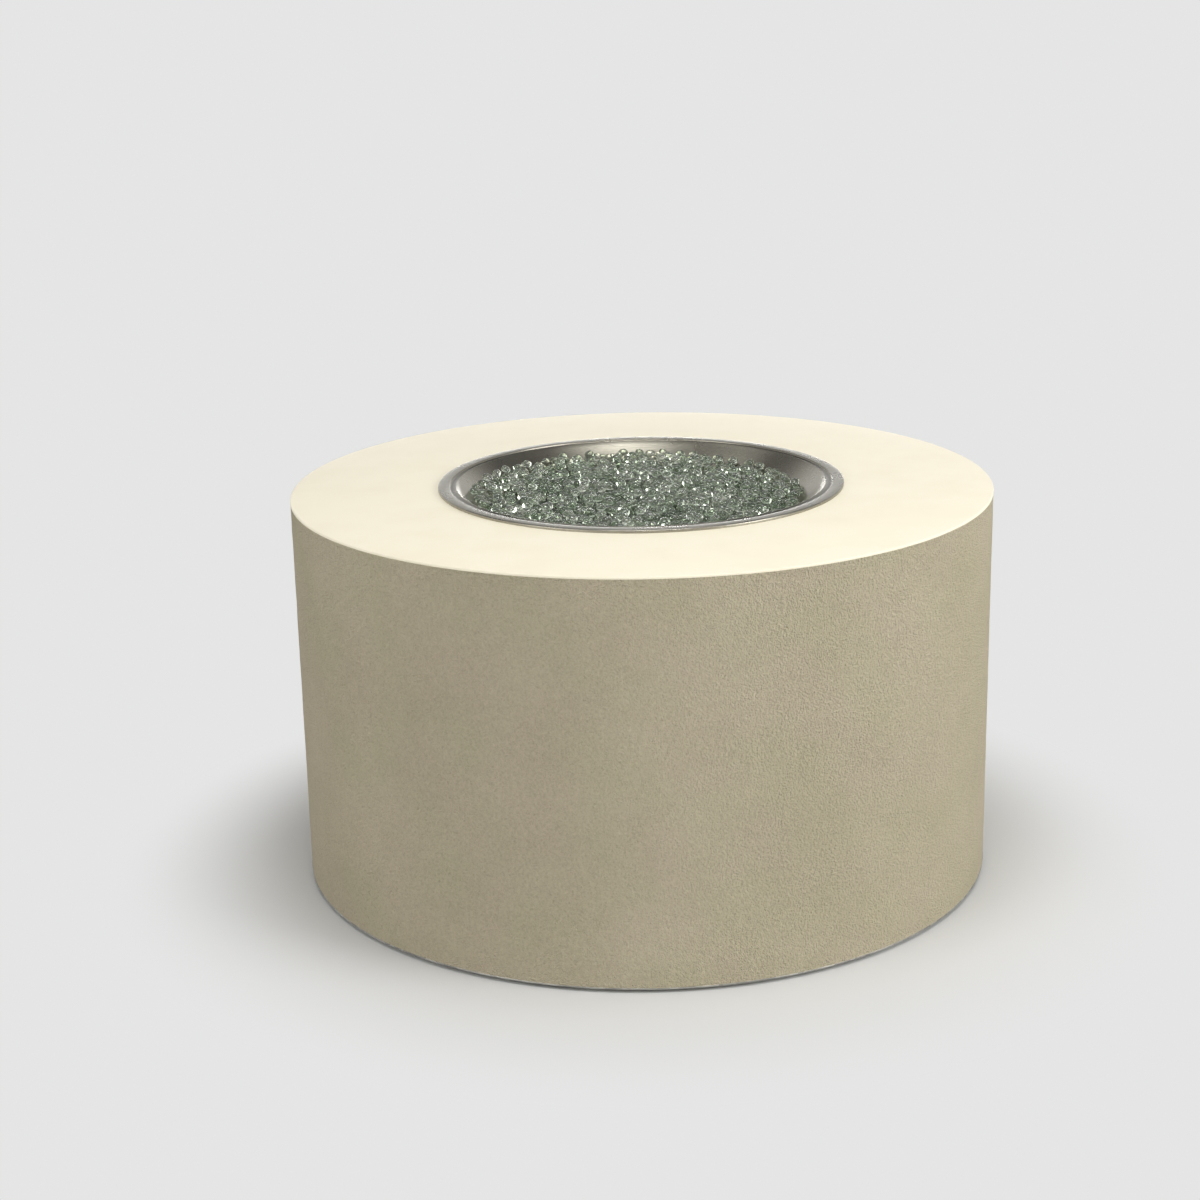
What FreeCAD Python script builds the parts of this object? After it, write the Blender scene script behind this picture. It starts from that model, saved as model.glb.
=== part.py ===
import FreeCAD
import Part
import math
import os

# A round gas fire pit table: a framed and boarded drum with a sandy stucco side, a smooth top
# coat, a drop-in steel burner pan full of fire glass, and a service door at the back.
# Millimetres, +Z up, origin on the floor under the centre. Azimuth 0 is the front (-Y) and
# azimuths grow towards +X, so the service door is at azimuth 180.

V = FreeCAD.Vector
UP = V(0, 0, 1)
ORIGIN = V(0, 0, 0)
full_turn = 360.0
back_azimuth = 180.0

# Clearances
fit_gap = 0.3            # between pieces that lie beside each other
running_gap = 0.06       # round a pin or stem in its bore
screw_gap = 0.1          # round a screw in its hole
beyond = 2.0             # how far a cutting shape runs past the piece that it cuts

# Drum wall and top
drum_radius = 533.5
table_height = 597.0
stucco_thickness = 7.0
board_thickness = 12.0
wall_board_count = 4
board_joint = 1.0        # gap where two wall boards meet
top_board_thickness = 12.0
top_coat_thickness = 3.5
top_coat_round = 2.0
foot_height = 5.0
foot_radius = 20.0
foot_count = 8
foot_screw_end = 3.0     # how far a foot screw passes the bottom track
base_thickness = 2.0
base_hole_radius = 15.0
base_hole_inset = 203.5  # from the outside of the drum to the circle of air holes
base_hole_count = 7
base_hole_spread = 240.0
bead_leg_thickness = 1.2
bead_nose_height = 2.5

# Steel frame
frame_sheet = 1.2
sheet_bend = 1.5         # bend radius at the middle of the sheet
track_flange = 25.0
stud_depth = 38.0
stud_width = 32.0
stud_lip = 6.0
stud_count = 9
jamb_gap = 1.0
joist_height = 41.0
joist_flange = 32.0
joist_corner_gap = 48.7  # from the corners of the joist frame to the top track
clip_margin = 4.0
clip_leg = 15.0
clip_tab_half = 15.0
frame_screw_radius = 2.0
frame_screw_head = 4.0
frame_screw_head_height = 2.0
frame_screw_length = 12.0

# Burner pan, heights measured from the table top
pan_sheet = 1.2
pan_lip_radius = 310.0
pan_lip_width = 17.6
pan_lip_height = 4.5
pan_edge_width = 31.0    # from the outside of the lip to the rim of the bowl
pan_depth = 80.0
pan_opening_gap = 3.4
bowl_slope = 40.0
bowl_end_run = 2.0
ridge_height = 3.2
ridge_fall_run = 3.3
ridge_bend = 1.6
ledge_height = 1.0
ledge_bend = 1.2

# Burner and gas train
burner_lift = 23.0       # from the pan floor to the middle of the burner tube
burner_side_gap = 41.8   # from the middle of the outer ring to the bowl, at its level
burner_ring_spacing = 70.0
burner_tube_radius = 9.5
burner_wall = 1.2
spoke_radius = 8.0
burner_hub_radius = 15.0
hub_chamber_radius = 11.0
port_radius = 1.2
outer_port_count = 36
inner_port_count = 18
nipple_radius = 10.65
nipple_bore = 8.0
nipple_hole_gap = 0.35
nipple_drop = 18.0       # below the pan floor
pan_nut_flats = 30.0
pan_nut_height = 6.0
mixer_radius = 14.0
mixer_length = 58.0
mixer_grip = 12.0        # how far the nipple goes into the mixer
mixer_bore = 9.0
air_hole_radius = 4.0
air_hole_count = 4
air_hole_rise = 14.0     # above the lower end of the mixer
shutter_wall = 1.45
shutter_height = 16.0
spud_thread_radius = 5.5
spud_thread_length = 8.0
spud_flats = 17.0
spud_hex_height = 7.0
jet_radius = 0.8
flare_radius = 7.94
flare_length = 14.0
flare_bore = 4.0
pipe_radius = 4.75
pipe_wall = 0.9
pipe_bend = 30.0
pipe_end_run = 9.0
flare_nut_flats = 19.0
flare_nut_length = 16.0
flare_nut_grip = 9.0

# Key valve in the wall
valve_azimuth = 125.0
valve_drop = 309.0       # from the table top to the middle of the ball
valve_setback = 81.5     # from the outside of the wall to the middle of the ball
valve_body_radius = 17.0
valve_body_half = 20.0
valve_hub_radius = 13.5
valve_hub_half = 32.0
valve_neck_radius = 13.0
valve_neck_bore = 9.5
ball_radius = 11.0
ball_cavity_gap = 0.3
ball_bore = 6.0
seat_radius = 9.5
seat_outer_half = 13.5
seat_inner_half = 7.0
stem_radius = 5.0
stem_square = 6.35
stem_square_length = 13.0
stem_tang = 4.0
stem_slot_depth = 3.0
bonnet_start = 26.0      # from the ball's middle to the bonnet
bonnet_length = 9.0
neck_length = 55.0
adapter_stub_radius = 8.0
adapter_stub_length = 10.0
adapter_flats = 20.0
adapter_hex_height = 7.0
sleeve_radius = 15.0
sleeve_overlap = 8.0     # how far the sleeve covers the valve neck
sleeve_nut_flats = 38.0
sleeve_nut_height = 6.0
escutcheon_radius = 32.0
escutcheon_thickness = 3.0
key_radius = 6.0
key_reach = 34.5         # outside the wall
key_bar_radius = 4.0
key_bar_length = 50.0

# Rock, glass and heat shield
rock_inner_radius = 20.0
rock_cover = 1.0         # above the burner tubes
glass_edge_rise = 30.5   # from the top of the rock to the edge of the glass bed
glass_crown = 9.0        # from the edge of the glass bed to its middle
shield_sheet = 1.2
shield_drop = 30.0       # from the pan floor to the shield
shield_front = 60.0
shield_end_gap = 43.7    # from the shield's flanges to the ends of the joists
shield_tail = 42.0       # behind the flanges
shield_flange_rise = 20.0
shield_screw_inset = 20.0

# Gas bottle place
locator_inner_radius = 105.0
bottle_setback = 252.5   # from the outside of the drum to the middle of the bottle
locator_thickness = 3.0
locator_height = 10.0

# Service door
doorway_width = 380.0
doorway_low = 50.0
doorway_drop = 71.0      # from the table top to the top of the clear opening
door_lap = 10.0          # how far the door covers the frame beyond the clear opening
door_gap = 3.0
liner_thickness = 2.0
door_frame_depth = 25.5
seal_width = 8.0
seal_thickness = 1.8
seal_inset = 1.0
seal_gap = 0.5
door_sheet = 1.2
hinge_end_gap = 70.0     # from the ends of the clear opening to the middle of a hinge
hinge_length = 60.0
knuckle_radius = 4.5
knuckle_gap = 0.4
knuckle_count = 3
hinge_pin_radius = 2.5
hinge_cap_height = 2.0
hinge_leaf_width = 26.0
hinge_leaf_thickness = 1.4
hinge_leaf_relief = 5.1
hinge_screw_radius = 1.8
hinge_screw_head = 3.5
hinge_screw_head_height = 1.6
hinge_screw_spacing = 40.0
hinge_screw_offset = 17.0
frame_leaf_screw_length = 26.0
door_leaf_screw_length = 14.0

# Pull and catch
pull_from_middle = 14.5  # degrees from the middle of the door
pull_height = 300.0
pull_plate_width = 56.0
pull_plate_height = 70.0
pull_plate_thickness = 2.0
pull_screw_inset = 5.5
bail_radius = 2.5
bail_width = 36.0
bail_drop = 42.0
bail_bend = 8.0
bail_end_bend = 4.0
bail_stand_off = 6.0     # from the plate to the middle of the bail rod
bail_rise = 22.0         # from the middle of the plate to the pivot
bail_ear_middle = 11.0
bail_ear_half = 2.0
bail_ear_radius = 5.0
catch_width = 12.0
catch_height = 40.0
catch_depth = 12.0
strike_thickness = 1.2
strike_width = 20.0

# Vent grilles
vent_azimuth = 99.0
vent_width = 195.0
vent_low = 40.0
vent_height = 80.0
vent_sheet = 1.5
vent_margin = 8.0
vent_edge_gap = 0.5
louvre_count = 5
louvre_side = 14.0
louvre_hood = 4.0
louvre_sheet = 1.0
louvre_slot = 5.0
louvre_pitch = 12.5
vent_screw_radius = 1.6
vent_screw_head = 3.2
vent_screw_head_height = 1.2
vent_screw_length = 9.0
vent_screw_inset = 4.5

# Helpers: azimuths, round shapes and bent sheet


def arc_angle(length, radius):
    """Degrees that a length covers at a radius."""
    return math.degrees(length / radius)


def face_distance(radius, half_width):
    """Distance from the centre line to a flat of a given half width inside a circle."""
    return math.sqrt(radius**2 - half_width**2)


def placed(shape, azimuth):
    """A shape modelled at the front, turned to an azimuth."""
    turned = shape.copy()
    turned.rotate(ORIGIN, UP, azimuth)
    return turned


def positive(shape):
    """The same solid with its faces pointing outwards."""
    if shape.Volume < 0:
        shape.reverse()
    return shape


def rod(radius, start, end):
    """Round bar between two points."""
    along = end - start
    return Part.makeCylinder(radius, along.Length, start, along)


def tube(outer, inner, start, end):
    """Round tube between two points."""
    along = (end - start).normalize()
    return rod(outer, start, end).cut(rod(inner, start - along * beyond, end + along * beyond))


def block(low, high):
    """Box between two opposite corners."""
    size = high - low
    return Part.makeBox(size.x, size.y, size.z, low)


def ring(inner, outer, low, high):
    """Upright ring round the centre line."""
    return tube(outer, inner, V(0, 0, low), V(0, 0, high))


def sector(inner, outer, low, high, start, end):
    """Part of an upright ring, from one azimuth to another."""
    corners = [V(0, -inner, low), V(0, -outer, low), V(0, -outer, high), V(0, -inner, high)]
    face = Part.Face(Part.makePolygon(corners + corners[:1]))
    return placed(positive(face.revolve(ORIGIN, UP, end - start)), start)


def lathe(wire):
    """Solid of revolution from a closed outline beside the centre line."""
    return positive(Part.Face(wire).revolve(ORIGIN, UP, full_turn))


def extruded(wire, along):
    """Straight solid from a closed flat outline."""
    return positive(Part.Face(wire).extrude(along))


def hexagon(flats, bore, start, end):
    """Hexagon nut between two points, with a round bore."""
    along = end - start
    across = V(0, 0, 1).cross(along)
    if across.Length == 0:
        across = V(1, 0, 0)
    across.normalize()
    other = (end - start).normalize().cross(across)
    corner_radius = flats / math.sqrt(3)
    corners = []
    for index in range(6):
        turn = math.radians(index * full_turn / 6)
        spoke = across * math.cos(turn) + other * math.sin(turn)
        corners.append(start + spoke * corner_radius)
    body = extruded(Part.makePolygon(corners + corners[:1]), along)
    ends = along.normalize() * beyond
    return body.cut(rod(bore, start - ends, end + ends))


def tangent_arc(before, corner, after, bend):
    """Start, middle and end of the arc that rounds one corner."""
    back = (before - corner).normalize()
    ahead = (after - corner).normalize()
    half = back.getAngle(ahead) / 2
    reach = bend / math.tan(half)
    middle = corner + (back + ahead).normalize() * (bend / math.sin(half) - bend)
    return corner + back * reach, middle, corner + ahead * reach


def rounded_wire(points, bends, closed):
    """Straight runs joined by tangent arcs, and a sharp corner where the bend is 0."""
    corners = []
    for index, corner in enumerate(points):
        is_end = not closed and index in (0, len(points) - 1)
        if is_end or bends[index] <= 0:
            corners.append((corner, None, corner))
        else:
            following = points[(index + 1) % len(points)]
            corners.append(tangent_arc(points[index - 1], corner, following, bends[index]))
    edges = []
    for index, (start, middle, end) in enumerate(corners):
        if middle is not None:
            edges.append(Part.Arc(start, middle, end).toShape())
        is_last = index == len(corners) - 1
        following = corners[(index + 1) % len(corners)][0]
        if (closed or not is_last) and end.distanceToPoint(following) > Part.Precision.confusion():
            edges.append(Part.LineSegment(end, following).toShape())
    return Part.Wire(edges)


def outline(points, bends=None):
    """Closed outline with rounded corners."""
    return rounded_wire(points, bends or [0] * len(points), True)


def strip(points, bends, thickness, normal):
    """Closed outline of a bent sheet, from the line along the middle of the sheet."""
    half = thickness / 2
    sides = [normal.cross((after - before).normalize()) for before, after in zip(points, points[1:])]
    left = []
    right = []
    left_bends = []
    right_bends = []
    for index, point in enumerate(points):
        before = sides[max(index - 1, 0)]
        after = sides[min(index, len(sides) - 1)]
        shift = (before + after) * (half / (1 + before.dot(after)))
        turn = math.copysign(half, before.cross(after).dot(normal))
        bend = bends[index]
        left.append(point + shift)
        right.append(point - shift)
        left_bends.append(bend - turn if bend else 0)
        right_bends.append(bend + turn if bend else 0)
    return outline(left + right[::-1], left_bends + right_bends[::-1])


def round_pipe(points, bends, outer, inner):
    """Bent round pipe along straight runs and tangent arcs."""
    path = rounded_wire(points, bends, False)
    along = (points[1] - points[0]).normalize()
    walls = []
    for radius in (outer, inner):
        profile = Part.Wire(Part.Circle(points[0], along, radius).toShape())
        walls.append(positive(path.makePipeShell([profile], True, False)))
    return walls[0].cut(walls[1])


def group(shapes):
    """Separate solids kept together as one piece of the list."""
    return Part.makeCompound(shapes)


def spaced(count, start, end):
    """Evenly spaced values, both ends included."""
    return [start + (end - start) * index / (count - 1) for index in range(count)]


# Places worked out from the driving sizes

board_outer = drum_radius - stucco_thickness
stucco_inner = board_outer + fit_gap
board_inner = board_outer - board_thickness
side_high = table_height - top_coat_thickness
top_board_low = side_high - top_board_thickness
base_high = foot_height + base_thickness
bead_leg_high = foot_height + bead_leg_thickness
bead_nose_high = foot_height + bead_nose_height

lip_middle_in = pan_lip_radius - pan_lip_width + pan_sheet / 2
lip_middle_out = pan_lip_radius - pan_sheet / 2
pan_opening_radius = lip_middle_in + pan_sheet / 2 + pan_opening_gap
bowl_rim_radius = pan_lip_radius - pan_edge_width
pan_floor = table_height - pan_depth
pan_floor_top = pan_floor + pan_sheet / 2
pan_floor_under = pan_floor - pan_sheet / 2
slope = math.radians(bowl_slope)
bowl_corner_radius = bowl_rim_radius - pan_depth / math.tan(slope)
bowl_bend = (pan_depth / math.sin(slope) - bowl_end_run) / math.tan(slope / 2)
bowl_flat = bowl_corner_radius - bowl_bend * math.tan(slope / 2)
pan_hole_radius = nipple_radius + nipple_hole_gap
lip_seat_radius = pan_lip_radius + fit_gap


def bowl_height(radius, gap):
    """Height of a point at a gap above the inside of the bowl."""
    reach = bowl_bend - pan_sheet / 2 - gap
    out = max(radius - bowl_flat, 0)
    return pan_floor + bowl_bend - math.sqrt(reach**2 - out**2)


def bowl_radius(height, gap):
    """Radius where a surface at a gap above the inside of the bowl reaches a height."""
    reach = bowl_bend - pan_sheet / 2 - gap
    return bowl_flat + math.sqrt(reach**2 - (pan_floor + bowl_bend - height) ** 2)


track_outer = board_inner - fit_gap
stud_face_out = face_distance(track_outer - frame_sheet - fit_gap, stud_width / 2)
stud_face_in = stud_face_out - stud_depth
track_inner = stud_face_in - fit_gap - frame_sheet
track_web_top = base_high + frame_sheet
track_web_under = top_board_low - frame_sheet
joist_low = top_board_low - joist_height
joist_x = (track_inner - joist_corner_gap) / math.sqrt(2)
joist_face_in = joist_x - frame_sheet / 2
joist_face_out = joist_x + frame_sheet / 2
joist_flange_edge = joist_x + joist_flange
joist_half = face_distance(track_inner - screw_gap, joist_flange_edge)

doorway_high = table_height - doorway_drop
hinge_low = doorway_low + hinge_end_gap
hinge_high = doorway_high - hinge_end_gap
stop_radius = drum_radius - door_frame_depth
stop_outer = stop_radius + liner_thickness
clear_half = math.degrees(math.asin(doorway_width / 2 / stop_radius))
door_half = clear_half + arc_angle(door_lap, drum_radius)
frame_inner_half = door_half + arc_angle(door_gap, drum_radius)
frame_outer_half = frame_inner_half + arc_angle(liner_thickness, drum_radius)
door_low = doorway_low - door_lap
door_high = doorway_high + door_lap
frame_inner_low = door_low - door_gap
frame_inner_high = door_high + door_gap
frame_low = frame_inner_low - liner_thickness
frame_high = frame_inner_high + liner_thickness
seal_outer = stop_outer + seal_thickness
door_pan_inner = seal_outer + seal_gap
jamb_half = frame_outer_half + arc_angle(jamb_gap + stud_width / 2, stud_face_out)
stud_azimuths = spaced(stud_count, jamb_half - back_azimuth, back_azimuth - jamb_half)
hinge_from_middle = (door_half + frame_inner_half) / 2
hinge_azimuth = back_azimuth - hinge_from_middle
leaf_inner = drum_radius + fit_gap
leaf_outer = leaf_inner + hinge_leaf_thickness
knuckle_centre = leaf_inner + screw_gap * 2 + knuckle_radius

mixer_high = pan_floor_under - pan_nut_height - fit_gap
nipple_low = pan_floor_under - nipple_drop
mixer_low = mixer_high - mixer_length
spud_low = mixer_low - spud_hex_height
spud_tip = spud_low - flare_length
burner_level = pan_floor + burner_lift
burner_ring_radius = bowl_radius(burner_level, 0) - burner_side_gap
burner_inner_radius = burner_ring_radius - burner_ring_spacing
hub_low = pan_floor_top + pan_nut_height
rock_top = burner_level + burner_tube_radius + rock_cover
glass_low = rock_top + fit_gap
pipe_level = spud_tip - pipe_end_run - pipe_bend

ball_y = -(drum_radius - valve_setback)
valve_height = table_height - valve_drop
outlet_tip = valve_height + valve_hub_half + adapter_hex_height + flare_length
bonnet_y = ball_y - bonnet_start
neck_end_y = ball_y - neck_length
sleeve_bore = valve_neck_radius + screw_gap
shield_level = pan_floor - shield_drop
vent_half = arc_angle(vent_width / 2, drum_radius)
vent_high = vent_low + vent_height
vent_face = stucco_inner + vent_sheet
pull_azimuth = back_azimuth + pull_from_middle
pull_face = leaf_inner + pull_plate_thickness
bail_pivot_y = -(pull_face + bail_stand_off)
bail_pivot_height = pull_height + bail_rise
shield_flange_high = joist_low + shield_flange_rise
shield_flange_back = joist_half - shield_end_gap
shield_back = shield_flange_back + shield_tail
bottle_y = drum_radius - bottle_setback
base_hole_circle = drum_radius - base_hole_inset
foot_circle = (track_outer + track_inner) / 2


# Finish of the drum: stucco, top coat, boards and bottom edge bead


def key_wall_bore():
    """Hole through the wall for the key sleeve."""
    start = V(0, -board_inner + beyond, valve_height)
    end = V(0, -drum_radius - beyond, valve_height)
    return placed(rod(sleeve_radius + fit_gap, start, end), valve_azimuth)


def door_cutter():
    """Space that the door frame takes out of the wall."""
    start = back_azimuth - frame_outer_half
    end = back_azimuth + frame_outer_half
    return sector(board_inner - beyond, drum_radius + beyond, frame_low, frame_high, start, end)


def vent_cutter(margin, side):
    """Space that a vent takes out of the wall, its margin measured inwards from the grille."""
    half = vent_half - arc_angle(margin, drum_radius)
    low = vent_low + margin
    high = vent_high - margin
    azimuth = side * vent_azimuth
    return sector(board_inner - beyond, drum_radius + beyond, low, high, azimuth - half, azimuth + half)


def hinge_screw_places(side):
    """Azimuth and height of each screw in the leaves on one side of the hinge line."""
    azimuth = hinge_azimuth + side * arc_angle(hinge_screw_offset, leaf_outer)
    places = []
    for hinge_height in (hinge_low, hinge_high):
        for step in (-1, 1):
            places.append((azimuth, hinge_height + step * hinge_screw_spacing / 2))
    return places


def hinge_screw_holes(side, length):
    """Holes for the screws in the leaves on one side of the hinge line."""
    holes = []
    radius = hinge_screw_radius + screw_gap
    for azimuth, height in hinge_screw_places(side):
        hole = rod(radius, V(0, -leaf_outer - beyond, height), V(0, length - leaf_outer - beyond, height))
        holes.append(placed(hole, azimuth))
    return group(holes)


def pull_screw_places():
    """Azimuth and height of the four screws of the pull plate."""
    half = arc_angle(pull_plate_width / 2 - pull_screw_inset, pull_face)
    rise = pull_plate_height / 2 - pull_screw_inset
    places = []
    for across in (-1, 1):
        for up in (-1, 1):
            places.append((pull_azimuth + across * half, pull_height + up * rise))
    return places


def pull_screw_holes():
    """Holes for the screws of the pull plate."""
    holes = []
    radius = hinge_screw_radius + screw_gap
    start = V(0, -pull_face - beyond, 0)
    end = V(0, door_leaf_screw_length + beyond - pull_face, 0)
    for azimuth, height in pull_screw_places():
        lift = V(0, 0, height)
        holes.append(placed(rod(radius, start + lift, end + lift), azimuth))
    return group(holes)


def vent_screw_places(side):
    """Azimuth and height of the four screws of a vent grille."""
    half = vent_half - arc_angle(vent_screw_inset, drum_radius)
    places = []
    for across in (-1, 1):
        for height in (vent_low + vent_screw_inset, vent_high - vent_screw_inset):
            places.append((side * vent_azimuth + across * half, height))
    return places


def vent_screw_holes(side):
    """Holes for the screws of a vent grille."""
    holes = []
    radius = vent_screw_radius + screw_gap
    start = -stucco_inner - vent_sheet - vent_screw_head_height - beyond
    end = -stucco_inner - vent_sheet + vent_screw_length + beyond
    for azimuth, height in vent_screw_places(side):
        holes.append(placed(rod(radius, V(0, start, height), V(0, end, height)), azimuth))
    return group(holes)


def stucco_coat():
    """Sandy coat round the drum, cut for the door, the vents, the key and the hinge screws."""
    coat = ring(stucco_inner, drum_radius, bead_nose_high, side_high)
    cutters = [door_cutter(), key_wall_bore(), hinge_screw_holes(-1, frame_leaf_screw_length + beyond)]
    for side in (-1, 1):
        cutters.append(vent_cutter(-vent_edge_gap, side))
    return coat.cut(cutters)


def top_coat():
    """Smooth coat over the top board: the seat under the pan's lip, and the open top round it."""
    seat = ring(pan_opening_radius, lip_seat_radius, side_high, table_height)
    corners = [
        V(lip_seat_radius, 0, side_high),
        V(drum_radius, 0, side_high),
        V(drum_radius, 0, table_height),
        V(lip_seat_radius, 0, table_height),
    ]
    return lathe(outline(corners, [0, 0, top_coat_round, 0])).fuse(seat)


def top_board():
    """Round cement board that carries the top coat and the pan."""
    return ring(pan_opening_radius, board_outer, top_board_low, side_high)


def wall_board_joints():
    """Azimuths of the joints between the wall boards, from one side of the door to the other."""
    joint = stud_azimuths[(stud_count - 1) * 3 // 4]
    door_side = back_azimuth - frame_outer_half
    return [-door_side, -joint, 0, joint, door_side]


def wall_board(index):
    """One curved board of the drum wall."""
    joints = wall_board_joints()
    gap = arc_angle(board_joint / 2, board_outer)
    start = joints[index] + gap
    end = joints[index + 1] - gap
    board = sector(board_inner, board_outer, bead_leg_high, top_board_low, start, end)
    cutters = [key_wall_bore(), hinge_screw_holes(-1, frame_leaf_screw_length + beyond)]
    for side in (-1, 1):
        cutters.append(vent_cutter(vent_margin, side))
        cutters.append(vent_screw_holes(side))
    return board.cut(cutters)


def doorway_boards():
    """Boards over and under the service door."""
    start = back_azimuth - frame_outer_half
    end = back_azimuth + frame_outer_half
    sill = sector(board_inner, board_outer, bead_leg_high, frame_low - fit_gap, start, end)
    header = sector(board_inner, board_outer, frame_high + fit_gap, top_board_low, start, end)
    return group([sill, header])


def base_edge_bead():
    """Metal bead that finishes the bottom edge of the wall."""
    leg_in = track_outer + fit_gap
    corners = [
        V(leg_in, 0, foot_height),
        V(drum_radius, 0, foot_height),
        V(drum_radius, 0, bead_nose_high),
        V(board_outer, 0, bead_nose_high),
        V(board_outer, 0, bead_leg_high),
        V(leg_in, 0, bead_leg_high),
    ]
    nose_round = bead_nose_height / 4
    return lathe(outline(corners, [0, nose_round, nose_round, 0, 0, 0]))


# Base and feet


def foot_azimuths():
    """Azimuths of the feet, which lie between the studs."""
    return [(index + 0.5) * full_turn / foot_count for index in range(foot_count)]


def foot_screw(azimuth, radius, low, high):
    """Round bar on the line of one foot screw."""
    return placed(rod(radius, V(0, -foot_circle, low), V(0, -foot_circle, high)), azimuth)


def foot_screw_holes():
    """Holes in the base and the bottom track for the foot screws."""
    radius = frame_screw_radius + screw_gap
    return group([foot_screw(azimuth, radius, 0, track_web_top + beyond) for azimuth in foot_azimuths()])


def foot_pads():
    """Rubber feet with a sunk screw place."""
    pads = []
    for azimuth in foot_azimuths():
        pad = foot_screw(azimuth, foot_radius, 0, foot_height)
        sunk = foot_screw(azimuth, frame_screw_head + fit_gap, -beyond, foot_height / 2)
        hole = foot_screw(azimuth, frame_screw_radius + screw_gap, -beyond, foot_height + beyond)
        pads.append(pad.cut([sunk, hole]))
    return group(pads)


def foot_screws():
    """Screws that hold the feet to the base and the bottom track."""
    screws = []
    for azimuth in foot_azimuths():
        seat = foot_height / 2
        head = foot_screw(azimuth, frame_screw_head, seat - frame_screw_head_height, seat)
        shank = foot_screw(azimuth, frame_screw_radius, seat, track_web_top + foot_screw_end)
        screws.append(head.fuse(shank))
    return group(screws)


def base_panel():
    """Round steel floor with air holes and the holes of the foot screws."""
    panel = Part.makeCylinder(track_outer, base_thickness, V(0, 0, foot_height))
    holes = [foot_screw_holes()]
    for azimuth in spaced(base_hole_count, -base_hole_spread / 2, base_hole_spread / 2):
        hole = rod(base_hole_radius, V(0, -base_hole_circle, 0), V(0, -base_hole_circle, base_high + beyond))
        holes.append(placed(hole, azimuth))
    return panel.cut(holes)


# Steel frame: tracks, studs, joists, headers, clips and their screws


def track(web_height, flange_side):
    """Ring of channel, its flanges up or down from the web."""
    inner = track_inner + frame_sheet / 2
    outer = track_outer - frame_sheet / 2
    end = web_height + flange_side * (track_flange - frame_sheet / 2)
    points = [V(inner, 0, end), V(inner, 0, web_height), V(outer, 0, web_height), V(outer, 0, end)]
    return lathe(strip(points, [0, sheet_bend, sheet_bend, 0], frame_sheet, V(0, 1, 0)))


def stud_screw_heights():
    """Heights of the lower and upper stud screws."""
    low = base_high + track_flange * 3 / 4
    return [low, base_high + top_board_low - low]


def stud_screw(azimuth, height, radius, start, end):
    """Round bar on the line of one stud screw, between two distances from the centre line."""
    return placed(rod(radius, V(0, -start, height), V(0, -end, height)), azimuth)


def stud_screw_holes():
    """Holes through the inner track flanges and the studs."""
    holes = []
    radius = frame_screw_radius + screw_gap
    start = track_inner - beyond
    end = track_inner + frame_screw_length
    for azimuth in stud_azimuths:
        for height in stud_screw_heights():
            holes.append(stud_screw(azimuth, height, radius, start, end))
    return group(holes)


def stud_screws():
    """Screws from the inside through the track into each stud."""
    screws = []
    seat = face_distance(track_inner, frame_screw_head) - screw_gap
    for azimuth in stud_azimuths:
        for height in stud_screw_heights():
            head = stud_screw(azimuth, height, frame_screw_head, seat - frame_screw_head_height, seat)
            shank = stud_screw(azimuth, height, frame_screw_radius, seat, seat + frame_screw_length)
            screws.append(head.fuse(shank))
    return group(screws)


def bottom_track():
    """Channel ring on the base, flanges up."""
    holes = [foot_screw_holes(), stud_screw_holes()]
    return track(base_high + frame_sheet / 2, 1).cut(holes)


def top_track():
    """Channel ring under the top board, flanges down."""
    return track(top_board_low - frame_sheet / 2, -1).cut(stud_screw_holes())


def wall_studs():
    """Upright C studs between the two tracks."""
    half = (stud_width - frame_sheet) / 2
    face_out = -stud_face_out + frame_sheet / 2
    face_in = -stud_face_in - frame_sheet / 2
    low = track_web_top + sheet_bend
    high = track_web_under - sheet_bend
    points = [
        V(half, -stud_face_out + stud_lip, low),
        V(half, face_out, low),
        V(-half, face_out, low),
        V(-half, face_in, low),
        V(half, face_in, low),
        V(half, -stud_face_in - stud_lip, low),
    ]
    bends = [0] + [sheet_bend] * 4 + [0]
    stud = extruded(strip(points, bends, frame_sheet, UP), V(0, 0, high - low))
    holes = [stud_screw_holes(), hinge_screw_holes(-1, frame_leaf_screw_length + beyond)]
    return group([placed(stud, azimuth).cut(holes) for azimuth in stud_azimuths])


def channel_points(web, flange_edge):
    """Line of a channel's sheet: web upright, flanges out to an edge."""
    low = joist_low + frame_sheet / 2
    high = top_board_low - frame_sheet / 2
    return [V(flange_edge, 0, low), V(web, 0, low), V(web, 0, high), V(flange_edge, 0, high)]


def channel(half):
    """Channel of a given half length along Y, its web upright and its flanges out."""
    bends = [0, sheet_bend, sheet_bend, 0]
    section = strip(channel_points(joist_x, joist_flange_edge), bends, frame_sheet, V(0, 1, 0))
    body = extruded(section, V(0, 2 * half, 0))
    body.translate(V(0, -half, 0))
    return body


def joists():
    """Two channels across the drum that carry the top board beside the pan."""
    joist = channel(joist_half)
    screws = shield_screw_holes()
    return group([joist.cut(screws), placed(joist, full_turn / 2).cut(screws)])


def headers():
    """Two channels between the joists, in front of and behind the pan."""
    header = channel(joist_face_in - fit_gap)
    return group([placed(header, full_turn / 4), placed(header, -full_turn / 4)])


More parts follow.
